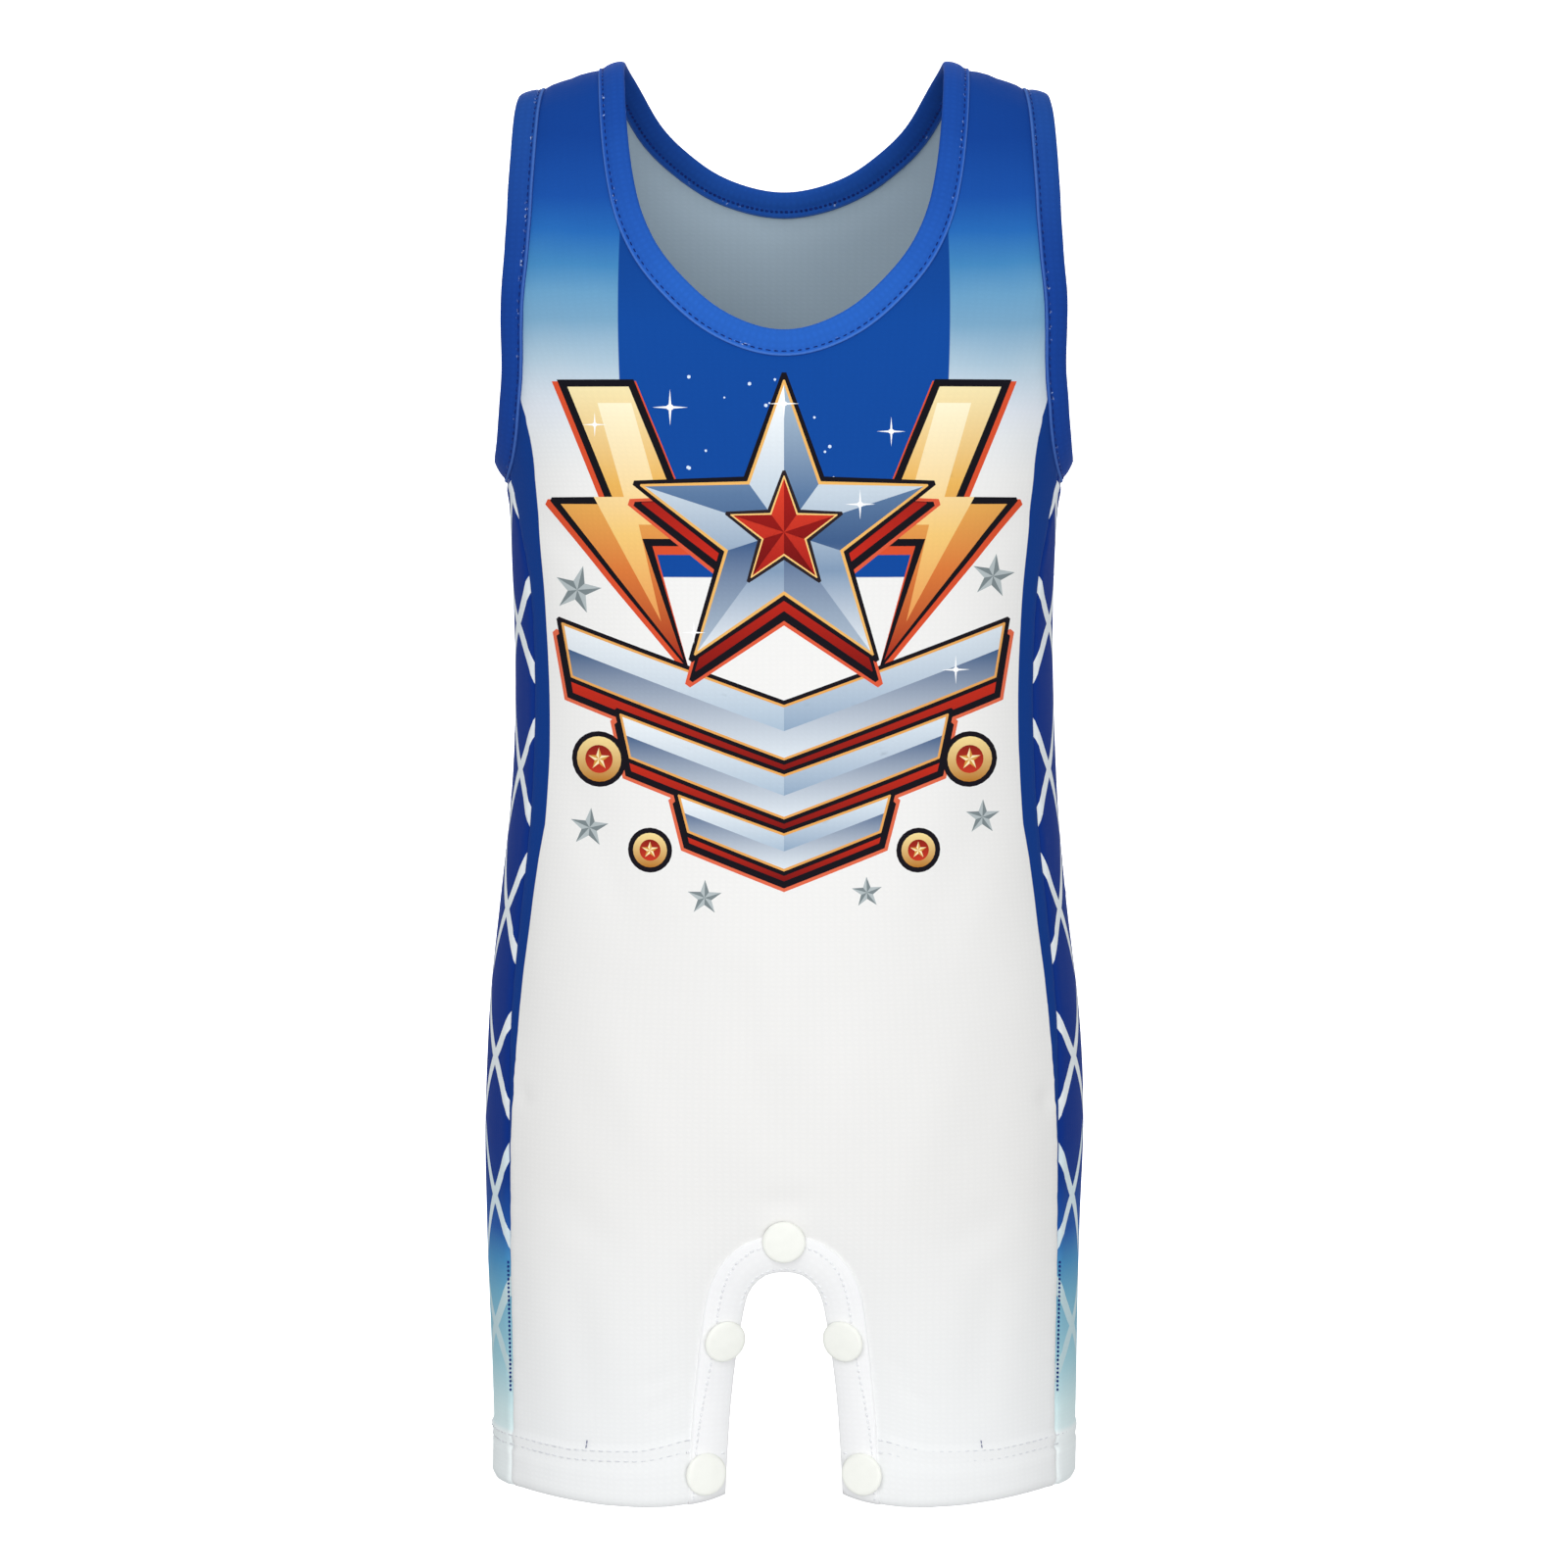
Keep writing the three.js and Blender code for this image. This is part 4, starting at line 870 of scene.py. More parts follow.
strip_mask = add_node(printed, "MapRange", {"From Min": 0.12, "From Max": -0.12, "Value": strip})
strip_fall = add_node(printed, "MapRange", {"From Min": -0.36, "From Max": -0.3, "Value": up})
strip_blue = add_node(printed, "ValToRGB", {0: strip_fall}, stops=[
    (0.0, "5E9CC4"), (0.25, "3D7AB6"), (0.5, "1A4C9A"), (0.8, "0D3A87")])
for mask, blue in ((block, blues), (strip_mask, strip_blue)):
    ground = add_node(printed, "Mix", {FACTOR: mask, UNDER: ground, OVER: blue}, data_type="RGBA")
knit_with_print(printed, ground)
front_panel.data.materials.append(printed)
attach(front_panel, "root")
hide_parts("front_panel")

# Back panel: the same printed knit in one piece with the inner legs and the crotch, which turn
# forward between the legs to meet the placket. It is sewn like the front and carries no design.
SIDE_BACK = 96.0


def to_back(line):
    behind = line[:, 1] < 0
    return np.where(behind[:, None], np.column_stack([180 - line[:, 0], -line[:, 1]]), line)


def back_angle(row):
    return np.full(np.shape(row), SIDE_BACK)


neck_back = to_back(clip_at_ridge(neck_seam[:HALF_NECK][::-1], False))
arm_back, seam_back = arm_and_side(to_back(clip_at_ridge(arm_seam, False)), back_angle, SEAM_HALF)
ahead = np.vstack([ARCH[1:], ARCH[-1:]]) - np.vstack([ARCH[:1], ARCH[:-1]])
away = unit(np.column_stack([-ahead[:, 1], ahead[:, 0]]))
away[[0, -1]] = [[-1, 0], [1, 0]]
rear = locate(*(ARCH + away * 14).T, back=True)
rear_beyond = locate(*(ARCH + away * 16).T, back=True)
back_half = half_outline(neck_back, arm_back, seam_back, rear[len(ARCH) // 2:][::-1], 36)
back_outline = np.vstack([back_half, [360, 0] + mirrored(back_half[-2:0:-1])])
places, faces, ink, rim = sheet(back_outline, 2.8, levels=hem_levels)
flat = on_plane(places)
form = skin(places)
x, z = form[:, 0], form[:, 2]
BACK_CREASES = [
    ((-6, -96), (-3, -172), 9.0, -0.8), ((7, -120), (9, -205), 8.0, -0.7),
    ((-26, -132), (-20, -226), 10.0, 0.6), ((30, -140), (24, -232), 10.0, 0.55),
    ((-70, -138), (-44, -166), 5.0, -0.6), ((69, -136), (47, -160), 5.5, -0.55),
    ((-64, -214), (-30, -246), 7.0, -0.7), ((62, -222), (26, -256), 7.5, -0.75),
    ((-54, -262), (-22, -330), 9.0, 0.8), ((51, -266), (20, -336), 9.5, 0.75),
    ((-3, -268), (-1, -346), 6.5, -1.6),
    ((-16, -350), (-42, -372), 5.0, -0.9), ((17, -352), (44, -370), 5.0, -0.8),
    ((-22, -366), (-48, -388), 4.0, -0.7), ((23, -368), (46, -392), 4.5, -0.7),
    ((-64, -350), (-60, -402), 6.0, -0.6), ((66, -346), (61, -400), 6.0, -0.55),
    ((52, -50), (54, -98), 4.5, -0.3), ((-53, -46), (-55, -94), 5.0, -0.3),
    ((-22, -62), (-40, -98), 6.0, -0.35), ((23, -60), (43, -96), 6.0, -0.35),
]
height = 0.35 * np.sin(x / 15.0 + 2.0) * bump(z + 215, 60)
height += 0.3 * np.sin(z / 19.0 - x / 37.0) * smooth((z - HEM_TOP) / 25)
height = (height + creases(x, z, BACK_CREASES)) * smooth(rim / 14)
height += seam_relief(flat, x, z, (neck_back, arm_back, seam_back), 360, 6)
rear_gap = line_distance(flat, on_plane(rear))
height += hem_relief(z, x, 9) * smooth(rear_gap / 6)
out = normal(places)
outer = form + out * height[:, None]
outer[:, 2] += hem_drop(x, z)
faces = faced_outward(outer, out, faces)

# Inner legs: each column leaves the seat, bends forward and runs straight to behind the placket
rear_flat = on_plane(rear)
line = np.array([int(np.argmin(np.hypot(*(flat - point).T))) for point in rear_flat])
start = outer[line]
inward = unit(start - skin(rear_beyond))
bend_end = np.insert(ARCH + away * 1.9, 1, start[:, 1] - 19, axis=1)
face_point = skin(arch_places)
face_out = normal(arch_places)
close = unit(skin(beside(arch_places, 1.0, -1, False)) - face_point)
front_end = face_point - face_out * 1.8 + close * 0.25
columns = []
for t in np.linspace(0, 1, 11)[1:]:
    columns.append(start * (1 - t) ** 3 + (start + inward * 8) * 3 * t * (1 - t) ** 2
                   + (bend_end + [0, 10, 0]) * 3 * t * t * (1 - t) + bend_end * t ** 3)
for t in np.linspace(0, 1, 15)[1:]:
    columns.append(bend_end + (front_end - bend_end) * t)
sheet_count = len(outer)
tunnel = np.vstack(columns)
reach = np.linspace(0, 1, len(columns))
wrinkle = np.array([0.5 * np.sin(k * 0.9 + np.arange(len(ARCH)) * 0.35) * np.sin(np.pi * reach[k])
                    for k in range(len(columns))]).ravel()
previous = line
forward = (int(line[0]), int(line[1])) in face_edges(faces)
added = []
for step in range(len(columns)):
    current = sheet_count + step * len(ARCH) + np.arange(len(ARCH))
    for i in range(len(ARCH) - 1):
        quad = [previous[i], previous[i + 1], current[i + 1], current[i]]
        quad = quad[::-1] if forward else quad
        added.extend([quad[:3], [quad[0], *quad[2:]]])
    previous = current
outer = np.vstack([outer, tunnel])
faces = np.vstack([faces, np.array(added)])
turned = face_directions(outer, faces)
mean_out = np.zeros_like(outer)
for k in range(3):
    np.add.at(mean_out, faces[:, k], turned)
mean_out = unit(mean_out)
mean_out[:sheet_count] = np.where((rear_gap < 0.1)[:, None], mean_out[:sheet_count], out)
outer[sheet_count:] += mean_out[sheet_count:] * wrinkle[:, None]
arch_run = run_along(ARCH)
tunnel_flat = np.vstack([np.column_stack([arch_run, np.full(len(ARCH), 430 + 60 * t)]) for t in reach])
back_panel = cloth_wall("back_panel_cloth", outer, mean_out, faces, np.vstack([flat, tunnel_flat]))
add_floats(back_panel, "strip", "POINT", np.full(len(back_panel.data.vertices), 9.0))
back_panel.data.materials.append(printed)
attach(back_panel, "root")
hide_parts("back_panel")

# Side panels, left and right: narrow pieces of the same knit from the armhole to the hem, printed
# navy with white crossed laces that fade to pale teal at the leg. Sewn between front and back.
# Angle and row of the middle of each crossing
LACES = [(75.4, 8.25), (76.9, 9.52), (73.6, 10.83), (73.6, 12.05), (73.1, 13.35), (71.4, 14.63),
         (73.4, 16.0)]
SIDE_REACH = 0.3
arm_whole = to_back(arm_seam)
begin, first_corner = crossing(arm_whole, seam_angle, -SIDE_REACH)
behind = arm_whole[::-1]
finish, last_corner = crossing(behind, back_angle, SIDE_REACH)
side_front = seam_line(seam_angle, first_corner[1], -SIDE_REACH)
side_back = seam_line(back_angle, last_corner[1], SIDE_REACH)
side_top = np.vstack([first_corner, arm_whole[:begin][::-1], behind[1:finish], last_corner])
side_outline = np.vstack([side_top, side_back, join(side_back[-1], side_front[-1], 20), side_front[::-1]])
lace_shapes = []
for angle, row in LACES:
    centre = np.array([[angle, row]])
    turn, down = tangents(centre)
    seam = np.array([[seam_angle(np.array([row]))[0], row]])
    wide = max(8.5, np.linalg.norm(skin(seam) - skin(centre)))
    reaches = np.linspace(-1.6, 1.25, 13)
    ahead = angle - np.abs(np.append(reaches, 1.0)) * wide / np.linalg.norm(turn)
    drawn_in = skin(centre)[0, 0] - skin(np.column_stack([ahead, np.full(14, row)]))[:, 0]
    rise = np.sign(reaches) * drawn_in[:-1] / drawn_in[-1] * 13.8
    half = 2.9 - 0.5 * bump(reaches, 0.3)
    for slope in (-1, 1):
        upper = np.column_stack([reaches * wide, slope * rise - half])
        lower = np.column_stack([reaches * wide, slope * rise + half])[::-1]
        lace_shapes.append(centre + np.vstack([upper, lower]) / [np.linalg.norm(turn), np.linalg.norm(down)])
LACE_INKS = ["E9EFF2"] * 10 + ["DCEBF0", "DCEBF0", "C6DEE3", "C6DEE3"]

side_dye = new_material("side_printed_polyester_knit")
place = add_node(side_dye, "TexCoord").outputs["Object"]
up = add_node(side_dye, "SeparateXYZ", {0: place}).outputs["Z"]
haze = add_node(side_dye, "TexNoise", {"Scale": 26.0, "Detail": 3.0, 0: place})
lift = add_node(side_dye, "Math", {0: haze, 1: 0.006, 2: up}, operation="MULTIPLY_ADD")
fall = add_node(side_dye, "MapRange", {"From Min": -0.41, "From Max": -0.31, "Value": lift})
dye = add_node(side_dye, "ValToRGB", {0: fall}, stops=[
    (0.05, "E8F8F9"), (0.14, "D8F0F2"), (0.28, "A6D3DF"), (0.47, "77B4D0"), (0.57, "4D93C4"),
    (0.67, "2459A8"), (0.83, "103889"), (0.95, "0E3284")])
hem_mask = add_node(side_dye, "MapRange", {"From Min": -0.4048, "From Max": -0.4062, "Value": up})
with_hem = add_node(side_dye, "Mix", {FACTOR: hem_mask, UNDER: dye, OVER: "F6FCFC"}, data_type="RGBA")
knit_with_print(side_dye, with_hem)
for side, name in ((1, "side_panel_left"), (-1, "side_panel_right")):
    shapes = [shape * [side, 1] for shape in lace_shapes]
    places, faces, ink, rim = sheet(side_outline * [side, 1], 2.2, shapes=shapes, levels=hem_levels)
    flat = on_plane(places)
    form = skin(places)
    z = form[:, 2]
    top_gap = line_distance(flat, on_plane(side_top * [side, 1]))
    seams = [line_distance(flat, on_plane(seam * [side, 1])) for seam in (side_front, side_back)]
    height = 0.25 * np.sin(z / 16.0 + side) * smooth(rim / 8)
    height += -0.5 * np.exp(-top_gap / 1.1) + 0.3 * bump(top_gap - 3, 2.4)
    for k, gap in enumerate(seams):
        height += -0.85 * np.exp(-gap / 0.8) + (0.2 + 0.2 * pucker(z, 9.5, 12 + k)) * bump(gap - 2.6, 2.2)
    height += hem_relief(z, form[:, 1], 14)
    out = normal(places)
    panel = cloth_wall(name + "_cloth", form + out * height[:, None], out, faces, flat, ink,
                       lambda k, xz: np.tile(linear(LACE_INKS[k]), (len(xz), 1)))
    panel.data.materials.append(side_dye)
    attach(panel, "root")
    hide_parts(name)

# Neck binding: a strip of the royal blue knit folded over the raw edge and topstitched once, so that
# it stands round and full at the fold, is nipped at the stitches and ends in a narrow lip.


def binding_surface(name, deep, bright):
    """Blue knit with tiny pale needle marks along the stitch line; painted shade that changes with height, a
    painted highlight on the lip, a painted shadow along the rim and painted shade on the underside.
    """
    material = new_material(name)
    place = add_node(material, "TexCoord").outputs["Object"]
    haze = add_node(material, "TexNoise", {"Scale": 60.0, "Detail": 4.0, 0: place})
    up = add_node(material, "SeparateXYZ", {0: place}).outputs["Z"]
    # Painted shade and light: the colour runs from deep at the top to bright lower down, mixed with random
    # tone
    low = add_node(material, "MapRange", {"From Min": -0.015, "From Max": -0.085, "Value": up})
    tone_and_painted_shade = add_node(material, "Math", {0: haze, 1: 0.35, 2: low}, operation="MULTIPLY_ADD")
    blues = add_node(material, "ValToRGB", {0: tone_and_painted_shade}, stops=[(0.25, deep), (1.0, bright)])
    across = add_node(material, "Attribute", attribute_name="across").outputs["Fac"]
    specks = add_node(material, "TexNoise", {"Scale": 900.0, "Detail": 1.0, 0: place})
    patches = add_node(material, "TexNoise", {"Scale": 70.0, "Detail": 1.0, 0: place})
    holes = add_node(material, "MapRange", {"From Min": 5.9, "From Max": 6.5, "Value": across})
    for source, start, end in ((across, 7.1, 6.6), (specks, 0.62, 0.72), (patches, 0.5, 0.62)):
        share = add_node(material, "MapRange", {"From Min": start, "From Max": end, "Value": source})
        holes = add_node(material, "Math", {0: holes, 1: share}, operation="MULTIPLY")
    # Painted highlight: a lighter blue along the rounded lip
    painted_lip_highlight = add_node(material, "MapRange", {
        "From Min": 7.15, "From Max": 7.55, "To Max": 0.3, "Value": across})
    # Painted shadow: dark navy at the very edge, where the lip meets the panel
    rim = add_node(material, "MapRange", {
        "From Min": 7.8, "From Max": 7.93, "To Max": 0.75, "Value": across})
    dyed = blues
    for mask, code in ((holes, "B9CDEE"), (painted_lip_highlight, "6E9BE6"), (rim, "0C2D7A")):
        dyed = add_node(material, "Mix", {FACTOR: mask, UNDER: dyed, OVER: code}, data_type="RGBA")
    # Painted shade: the underside, inside the garment, is made darker
    under = add_node(material, "Attribute", attribute_name="reverse").outputs["Fac"]
    painted_underside_shade = add_node(material, "MapRange", {"To Min": 1.0, "To Max": 0.84, "Value": under})
    both_faces = add_node(material, "VectorMath", {0: dyed, "Scale": painted_underside_shade}, operation="SCALE")
    knit(material, both_faces, gloss=0.78, mottle=0.06)
    return material


# Width of a binding and step along its ring, in millimetres
BINDING_WIDTH = 8.0
RING_STEP = 1.4
# Section of a binding: distance from the fold, height of its upper face, both in millimetres
ROLL = np.array([
    [0.0, -0.35], [0.08, 0.05], [0.35, 0.42], [0.9, 0.68], [1.8, 0.83], [3.0, 0.86], [4.2, 0.76],
    [5.2, 0.55], [5.9, 0.3], [6.35, 0.05], [6.75, 0.04], [7.15, 0.28], [7.5, 0.34], [7.8, 0.16],
    [8.0, -0.25],
])
UNDER_ROLL = np.array([
    [7.98, -1.3], [7.75, -1.9], [7.2, -2.2], [6.5, -2.1], [5.7, -1.65], [4.9, -1.85], [3.9, -2.1],
    [2.6, -2.15], [1.2, -1.9], [0.4, -1.5], [0.08, -1.0],
])


def swept_strip(name, rows, run, spread, closed, dye):
    """Solid strip from a closed section at every step of a run, its ends joined or capped."""
    points = np.stack(rows, axis=1)
    count, sides = points.shape[:2]
    faces = []
    for i in range(count if closed else count - 1):
        j = (i + 1) % count
        for k in range(sides):
            m = (k + 1) % sides
            faces.append([i * sides + k, i * sides + m, j * sides + m, j * sides + k])
    if not closed:
        faces.append(list(range(sides))[::-1])
        faces.append([(count - 1) * sides + k for k in range(sides)])
    item = make_mesh(name, points.reshape(-1, 3), faces)
    lay_flat(item, np.column_stack([np.repeat(run, sides), np.tile(np.arange(sides) * spread, count)]))
    shape = bmesh.new()
    shape.from_mesh(item.data)
    bmesh.ops.recalc_face_normals(shape, faces=shape.faces)
    shape.to_mesh(item.data)
    shape.free()
    item.data.materials.append(dye)
    return item


def binding(name, ring, closed_line, lift, seed, dye):
    """Folded binding swept round a ring; lift raises it by place and by share of its width."""
    reach = closed_line(BINDING_WIDTH) - ring
    run = run_along(skin(ring))
    wave = pucker(run, 7.5, seed)
    slow = pucker(run, 38.0, seed + 1)
    rows = []
    for u, h in np.vstack([ROLL, UNDER_ROLL]):
        where = ring + reach * ((u + 0.12 * slow * bump(u - 6.6, 0.8)) / BINDING_WIDTH)[:, None]
        full = 1 + 0.1 * slow + 0.1 * wave * bump(u - 5.4, 1.6)
        height = (h + 0.6) * full - 0.6 + 0.1 * wave * bump(u - 6.5, 0.7) * (h > -0.5)
        height = height + lift(where, u / BINDING_WIDTH)
        rows.append(skin(where) + normal(where) * height[:, None])
    item = swept_strip(name, rows, run, 0.7, True, dye)
    add_floats(item, "across", "POINT", np.tile(np.append(ROLL[:, 0], UNDER_ROLL[:, 0]), len(run)))
    under = np.arange(len(rows)) >= len(ROLL)
    add_floats(item, "reverse", "POINT", np.tile(under, len(run)).astype(float))
    return item


def no_lift(where, share):
    return np.zeros(len(where))


neck_ring = neck_line(0, RING_STEP)
neck_dye_and_shade = binding_surface("royal_blue_binding_knit", "1B4BA3", "2862C0")
neck_binding = binding("neck_binding_cloth", neck_ring, lambda d: neck_line(d, RING_STEP), no_lift, 21,
                       neck_dye_and_shade)
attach(neck_binding, "root")
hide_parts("neck_binding")

# Armhole bindings, left and right: the same folded strip, its knit painted darker as shade; at the lowest
# point the edge flares out a little where the strip was stretched round the curve.


def arm_flare(where, share):
    return 2.1 * (1 - share) * bump(np.abs(where[:, 1]) - 7.9, 0.75)


# The same knit as the neck binding, painted darker as shade
arm_dye_and_shade = binding_surface("royal_blue_binding_knit_painted_darker", "1F4C9C", "153F92")
for side, name in ((1, "armhole_binding_left"), (-1, "armhole_binding_right")):
    ring = arm_line(0, RING_STEP)[:-1] * [side, 1]
    piece = binding(name + "_cloth", ring, lambda d: arm_line(d, RING_STEP)[:-1] * [side, 1], arm_flare,
                    31 + side, arm_dye_and_shade)
    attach(piece, "root")
    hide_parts(name)

# Front and back plackets: two straight strips of white knit, folded double and laid one behind the
# other round the arch between the legs, where the snaps join them. Their long edges are soft folds.
PLACKET_THICKNESS = 1.6
placket_dye = new_material("white_placket_knit")
knit(placket_dye, mottled(placket_dye, 40.0, 3.0, [(0.3, "F7F7F8"), (0.7, "FBFBFB")])[1])


def placket(name, distances, top, seed, swell):
    """Flat strip beside the arch with rounded long edges and closed ends."""
    lines = [beside(arch_places, d, -1, False) for d in distances]
    last = len(lines) - 1
    wave = pucker(arch_run, 6.5, seed)
    profile = [(0, -0.5)] + [(k, 0.0) for k in range(1, last)] + [(last, -0.5)]
    profile += [(k, -1.0) for k in range(last - 1, 0, -1)]
    rows = []
    for k, deep in profile:
        puff = swell * math.sin(math.pi * k / last) ** 0.6 * (1 + 0.3 * wave) if deep == 0 else 0.0
        height = top + deep * PLACKET_THICKNESS + puff + np.zeros(len(arch_run))
        row = skin(lines[k]) + normal(lines[k]) * height[:, None]
        row[:, 2] += foot_drop(np.abs(row[:, 0])) * smooth((-400 - row[:, 2]) / 21)
        rows.append(row)
    return swept_strip(name, rows, arch_run, 1.2, False, placket_dye)


# Distances from the arch at which each strip has points; the back one is the narrower
FRONT_SPACING = [0, 0.25, 0.8, 2.0, 3.6, 5.5, 7.5, 9.5, 10.6, 11.2, 11.7, 12.3, 12.5]
BACK_SPACING = [1.9, 2.2, 2.7, 4.0, 6.0, 8.0, 10.0, 11.6, 12.3, 12.5]
placket_front = placket("placket_front_cloth", FRONT_SPACING, 0.2, 41, 0.22)
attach(placket_front, "root")
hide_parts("placket_front")
placket_back = placket("placket_back_cloth", BACK_SPACING, -1.7, 42, 0.0)
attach(placket_back, "root")
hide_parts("placket_back")

# Topstitching: polyester sewing thread, blue along the bindings and in the side seams, white along
# the plackets and the hems, where the white is painted pale grey as shade. One short rounded stitch is
# repeated along each line.


def thread_surface(name, code, pale_code):
    material = new_material(name)
    fibre, base = mottled(material, 1500.0, 2.0, [(0.35, code), (0.65, pale_code)])
    shades = add_node(material, "MapRange", {"To Min": 0.8, "To Max": 1.05, "Value": fibre})
    tint = add_node(material, "VectorMath", {0: base, "Scale": shades}, operation="SCALE")
    thread = add_node(material, "BsdfPrincipled", {
        "Roughness": 0.6, "IOR": 1.5, "Specular IOR Level": 0.1, "Base Color": tint})
    add_node(material, "OutputMaterial", {"Surface": thread})
    return material


def stitch_tree(name, material, pitch, width):
    """Node tree that lays a stitch at even steps along the edges of its mesh."""
    tree = bpy.data.node_groups.new(name, "GeometryNodeTree")
    tree.interface.new_socket("Geometry", in_out="INPUT", socket_type="NodeSocketGeometry")
    pitch_in = tree.interface.new_socket("Pitch", in_out="INPUT", socket_type="NodeSocketFloat")
    width_in = tree.interface.new_socket("Width", in_out="INPUT", socket_type="NodeSocketFloat")
    seed_in = tree.interface.new_socket("Seed", in_out="INPUT", socket_type="NodeSocketInt")
    tree.interface.new_socket("Geometry", in_out="OUTPUT", socket_type="NodeSocketGeometry")
    made = {}
    for key, kind in (("in", "NodeGroupInput"), ("curve", "GeometryNodeMeshToCurve"),
                      ("even", "GeometryNodeResampleCurve"), ("ball", "GeometryNodeMeshUVSphere"),
                      ("place", "GeometryNodeInstanceOnPoints"), ("tangent", "GeometryNodeInputTangent"),
                      ("out_way", "GeometryNodeInputNamedAttribute"),
                      ("aim", "FunctionNodeAlignRotationToVector"),
                      ("stand", "FunctionNodeAlignRotationToVector"), ("size", "ShaderNodeCombineXYZ"),
                      ("long", "ShaderNodeMath"), ("flat", "ShaderNodeMath"),
                      ("chance", "FunctionNodeRandomValue"), ("real", "GeometryNodeRealizeInstances"),
                      ("surface", "GeometryNodeSetMaterial"), ("out", "NodeGroupOutput")):
        made[key] = tree.nodes.new(kind)
    for key, setting, value in (("even", "mode", "LENGTH"), ("out_way", "data_type", "FLOAT_VECTOR"),
                                ("aim", "axis", "X"), ("stand", "axis", "Z"), ("stand", "pivot_axis", "X"),
                                ("chance", "data_type", "FLOAT"), ("long", "operation", "MULTIPLY"),
                                ("flat", "operation", "MULTIPLY")):
        setattr(made[key], setting, value)
    for key, socket, value in (("ball", "Segments", 6), ("ball", "Rings", 4), ("ball", "Radius", 0.5),
                               ("out_way", "Name", "out_way"), ("chance", 2, 0.62), ("chance", 3, 0.8),
                               ("flat", 1, 0.85), ("surface", "Material", material)):
        made[key].inputs[socket].default_value = value
    links = [
        ("in", 0, "curve", 0), ("curve", 0, "even", 0), ("in", 1, "even", "Length"),
        ("even", 0, "place", "Points"), ("ball", "Mesh", "place", "Instance"),
        ("tangent", 0, "aim", "Vector"), ("aim", 0, "stand", "Rotation"),
        ("out_way", 0, "stand", "Vector"), ("stand", 0, "place", "Rotation"), ("in", 1, "long", 0),
        ("chance", 1, "long", 1), ("in", 3, "chance", "Seed"), ("in", 2, "size", 1), ("in", 2, "flat", 0),
        ("long", 0, "size", 0), ("flat", 0, "size", 2),
        ("size", 0, "place", "Scale"),
        ("place", 0, "real", 0), ("real", 0, "surface", 0), ("surface", 0, "out", 0),
    ]
    for source, a, target, b in links:
        tree.links.new(made[source].outputs[a], made[target].inputs[b])
    return tree, {pitch_in.identifier: pitch, width_in.identifier: width, seed_in.identifier: 7}


def stitch_lines(name, lines, material, pitch, width):
    """One mesh of stitches along lines given as points and outward directions in millimetres."""
    points = np.vstack([line for line, _ in lines]) * 0.001
    outs = np.vstack([out for _, out in lines])
    edges = []
    start = 0
    for line, _ in lines:
        edges.extend((start + i, start + i + 1) for i in range(len(line) - 1))
        start += len(line)
    mesh = bpy.data.meshes.new(name)
    mesh.from_pydata(points.tolist(), edges, [])
    path = bpy.data.objects.new(name + "_path", mesh)
    bpy.context.scene.collection.objects.link(path)
    add_floats(path, "out_way", "POINT", outs)
    tree, values = stitch_tree(name, material, pitch, width)
    modifier = path.modifiers.new("stitches", "NODES")
    modifier.node_group = tree
    for identifier, value in values.items():
        modifier[identifier] = value
    evaluated = path.evaluated_get(bpy.context.evaluated_depsgraph_get())
    laid = bpy.data.meshes.new_from_object(evaluated)
    laid.name = name
    laid.shade_smooth()
    item = bpy.data.objects.new(name, laid)
    bpy.context.scene.collection.objects.link(item)
    bpy.data.objects.remove(path)
    bpy.data.node_groups.remove(tree)
    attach(item, "root")
    return item


def on_cloth(line, height):
    out = normal(line)
    return skin(line) + out * np.broadcast_to(height, len(line))[:, None], out


def closed(line):
    return np.vstack([line, line[:1]])


blue_thread = thread_surface("royal_blue_sewing_thread", "0B2468", "123384")
white_thread = thread_surface("white_sewing_thread", "F4F5F8", "FAFBFC")
# Painted shade: white hem thread given a pale grey colour for the shadow of its stitches
hem_thread = thread_surface("white_hem_thread_painted_grey", "E1E3E8", "EDEEF1")
# Distance of the stitch lines from the fold of a binding, on its face and inside
OUTER_STITCH, INNER_STITCH = 6.55, 5.75
blue_lines = [on_cloth(closed(neck_line(OUTER_STITCH, RING_STEP)), 0.12)]
inner_lines = [on_cloth(closed(neck_line(INNER_STITCH, RING_STEP)), -1.95)]
for side in (-1, 1):
    for lines, distance, height in ((blue_lines, OUTER_STITCH, 0.12), (inner_lines, INNER_STITCH, -1.95)):
        line = arm_line(distance, RING_STEP) * [side, 1]
        lines.append(on_cloth(line, arm_flare(line, distance / BINDING_WIDTH) + height))
stitch_lines("binding_stitches", blue_lines, blue_thread, 0.0023, 0.00042)
stitch_lines("binding_inner_stitches", inner_lines, blue_thread, 0.0015, 0.0009)
seam_lines = []
for side in (-1, 1):
    rows = np.linspace(*locate([0, 0], [-355, -393])[:, 1], 40)
    angles = seam_angle(rows) + 0.5
    seam_lines.append(on_cloth(np.column_stack([angles * side, rows]), 0.08))
stitch_lines("side_seam_stitches", seam_lines, blue_thread, 0.00125, 0.0008)
end_lines = [on_cloth(locate([57.6 * side, 57.8 * side], [-405.3, -406.6]), 0.35) for side in (-1, 1)]
stitch_lines("thread_ends", end_lines, blue_thread, 0.0019, 0.0003)
white_lines = []
near = beside(arch_places, 8.2, -1, False)
far = beside(arch_places, 11.0, -1, False)
share = smooth((-372 - ARCH[:, 1]) / 40) + 0.5 * smooth((ARCH[:, 1] + 362) / 8)
white_lines.append(on_cloth(near + (far - near) * share[:, None], 0.46))
line = beside(arch_places, 1.5, -1, False)
white_lines.append(on_cloth(line[len(line) // 2 - 6:len(line) // 2 + 7], 0.3))
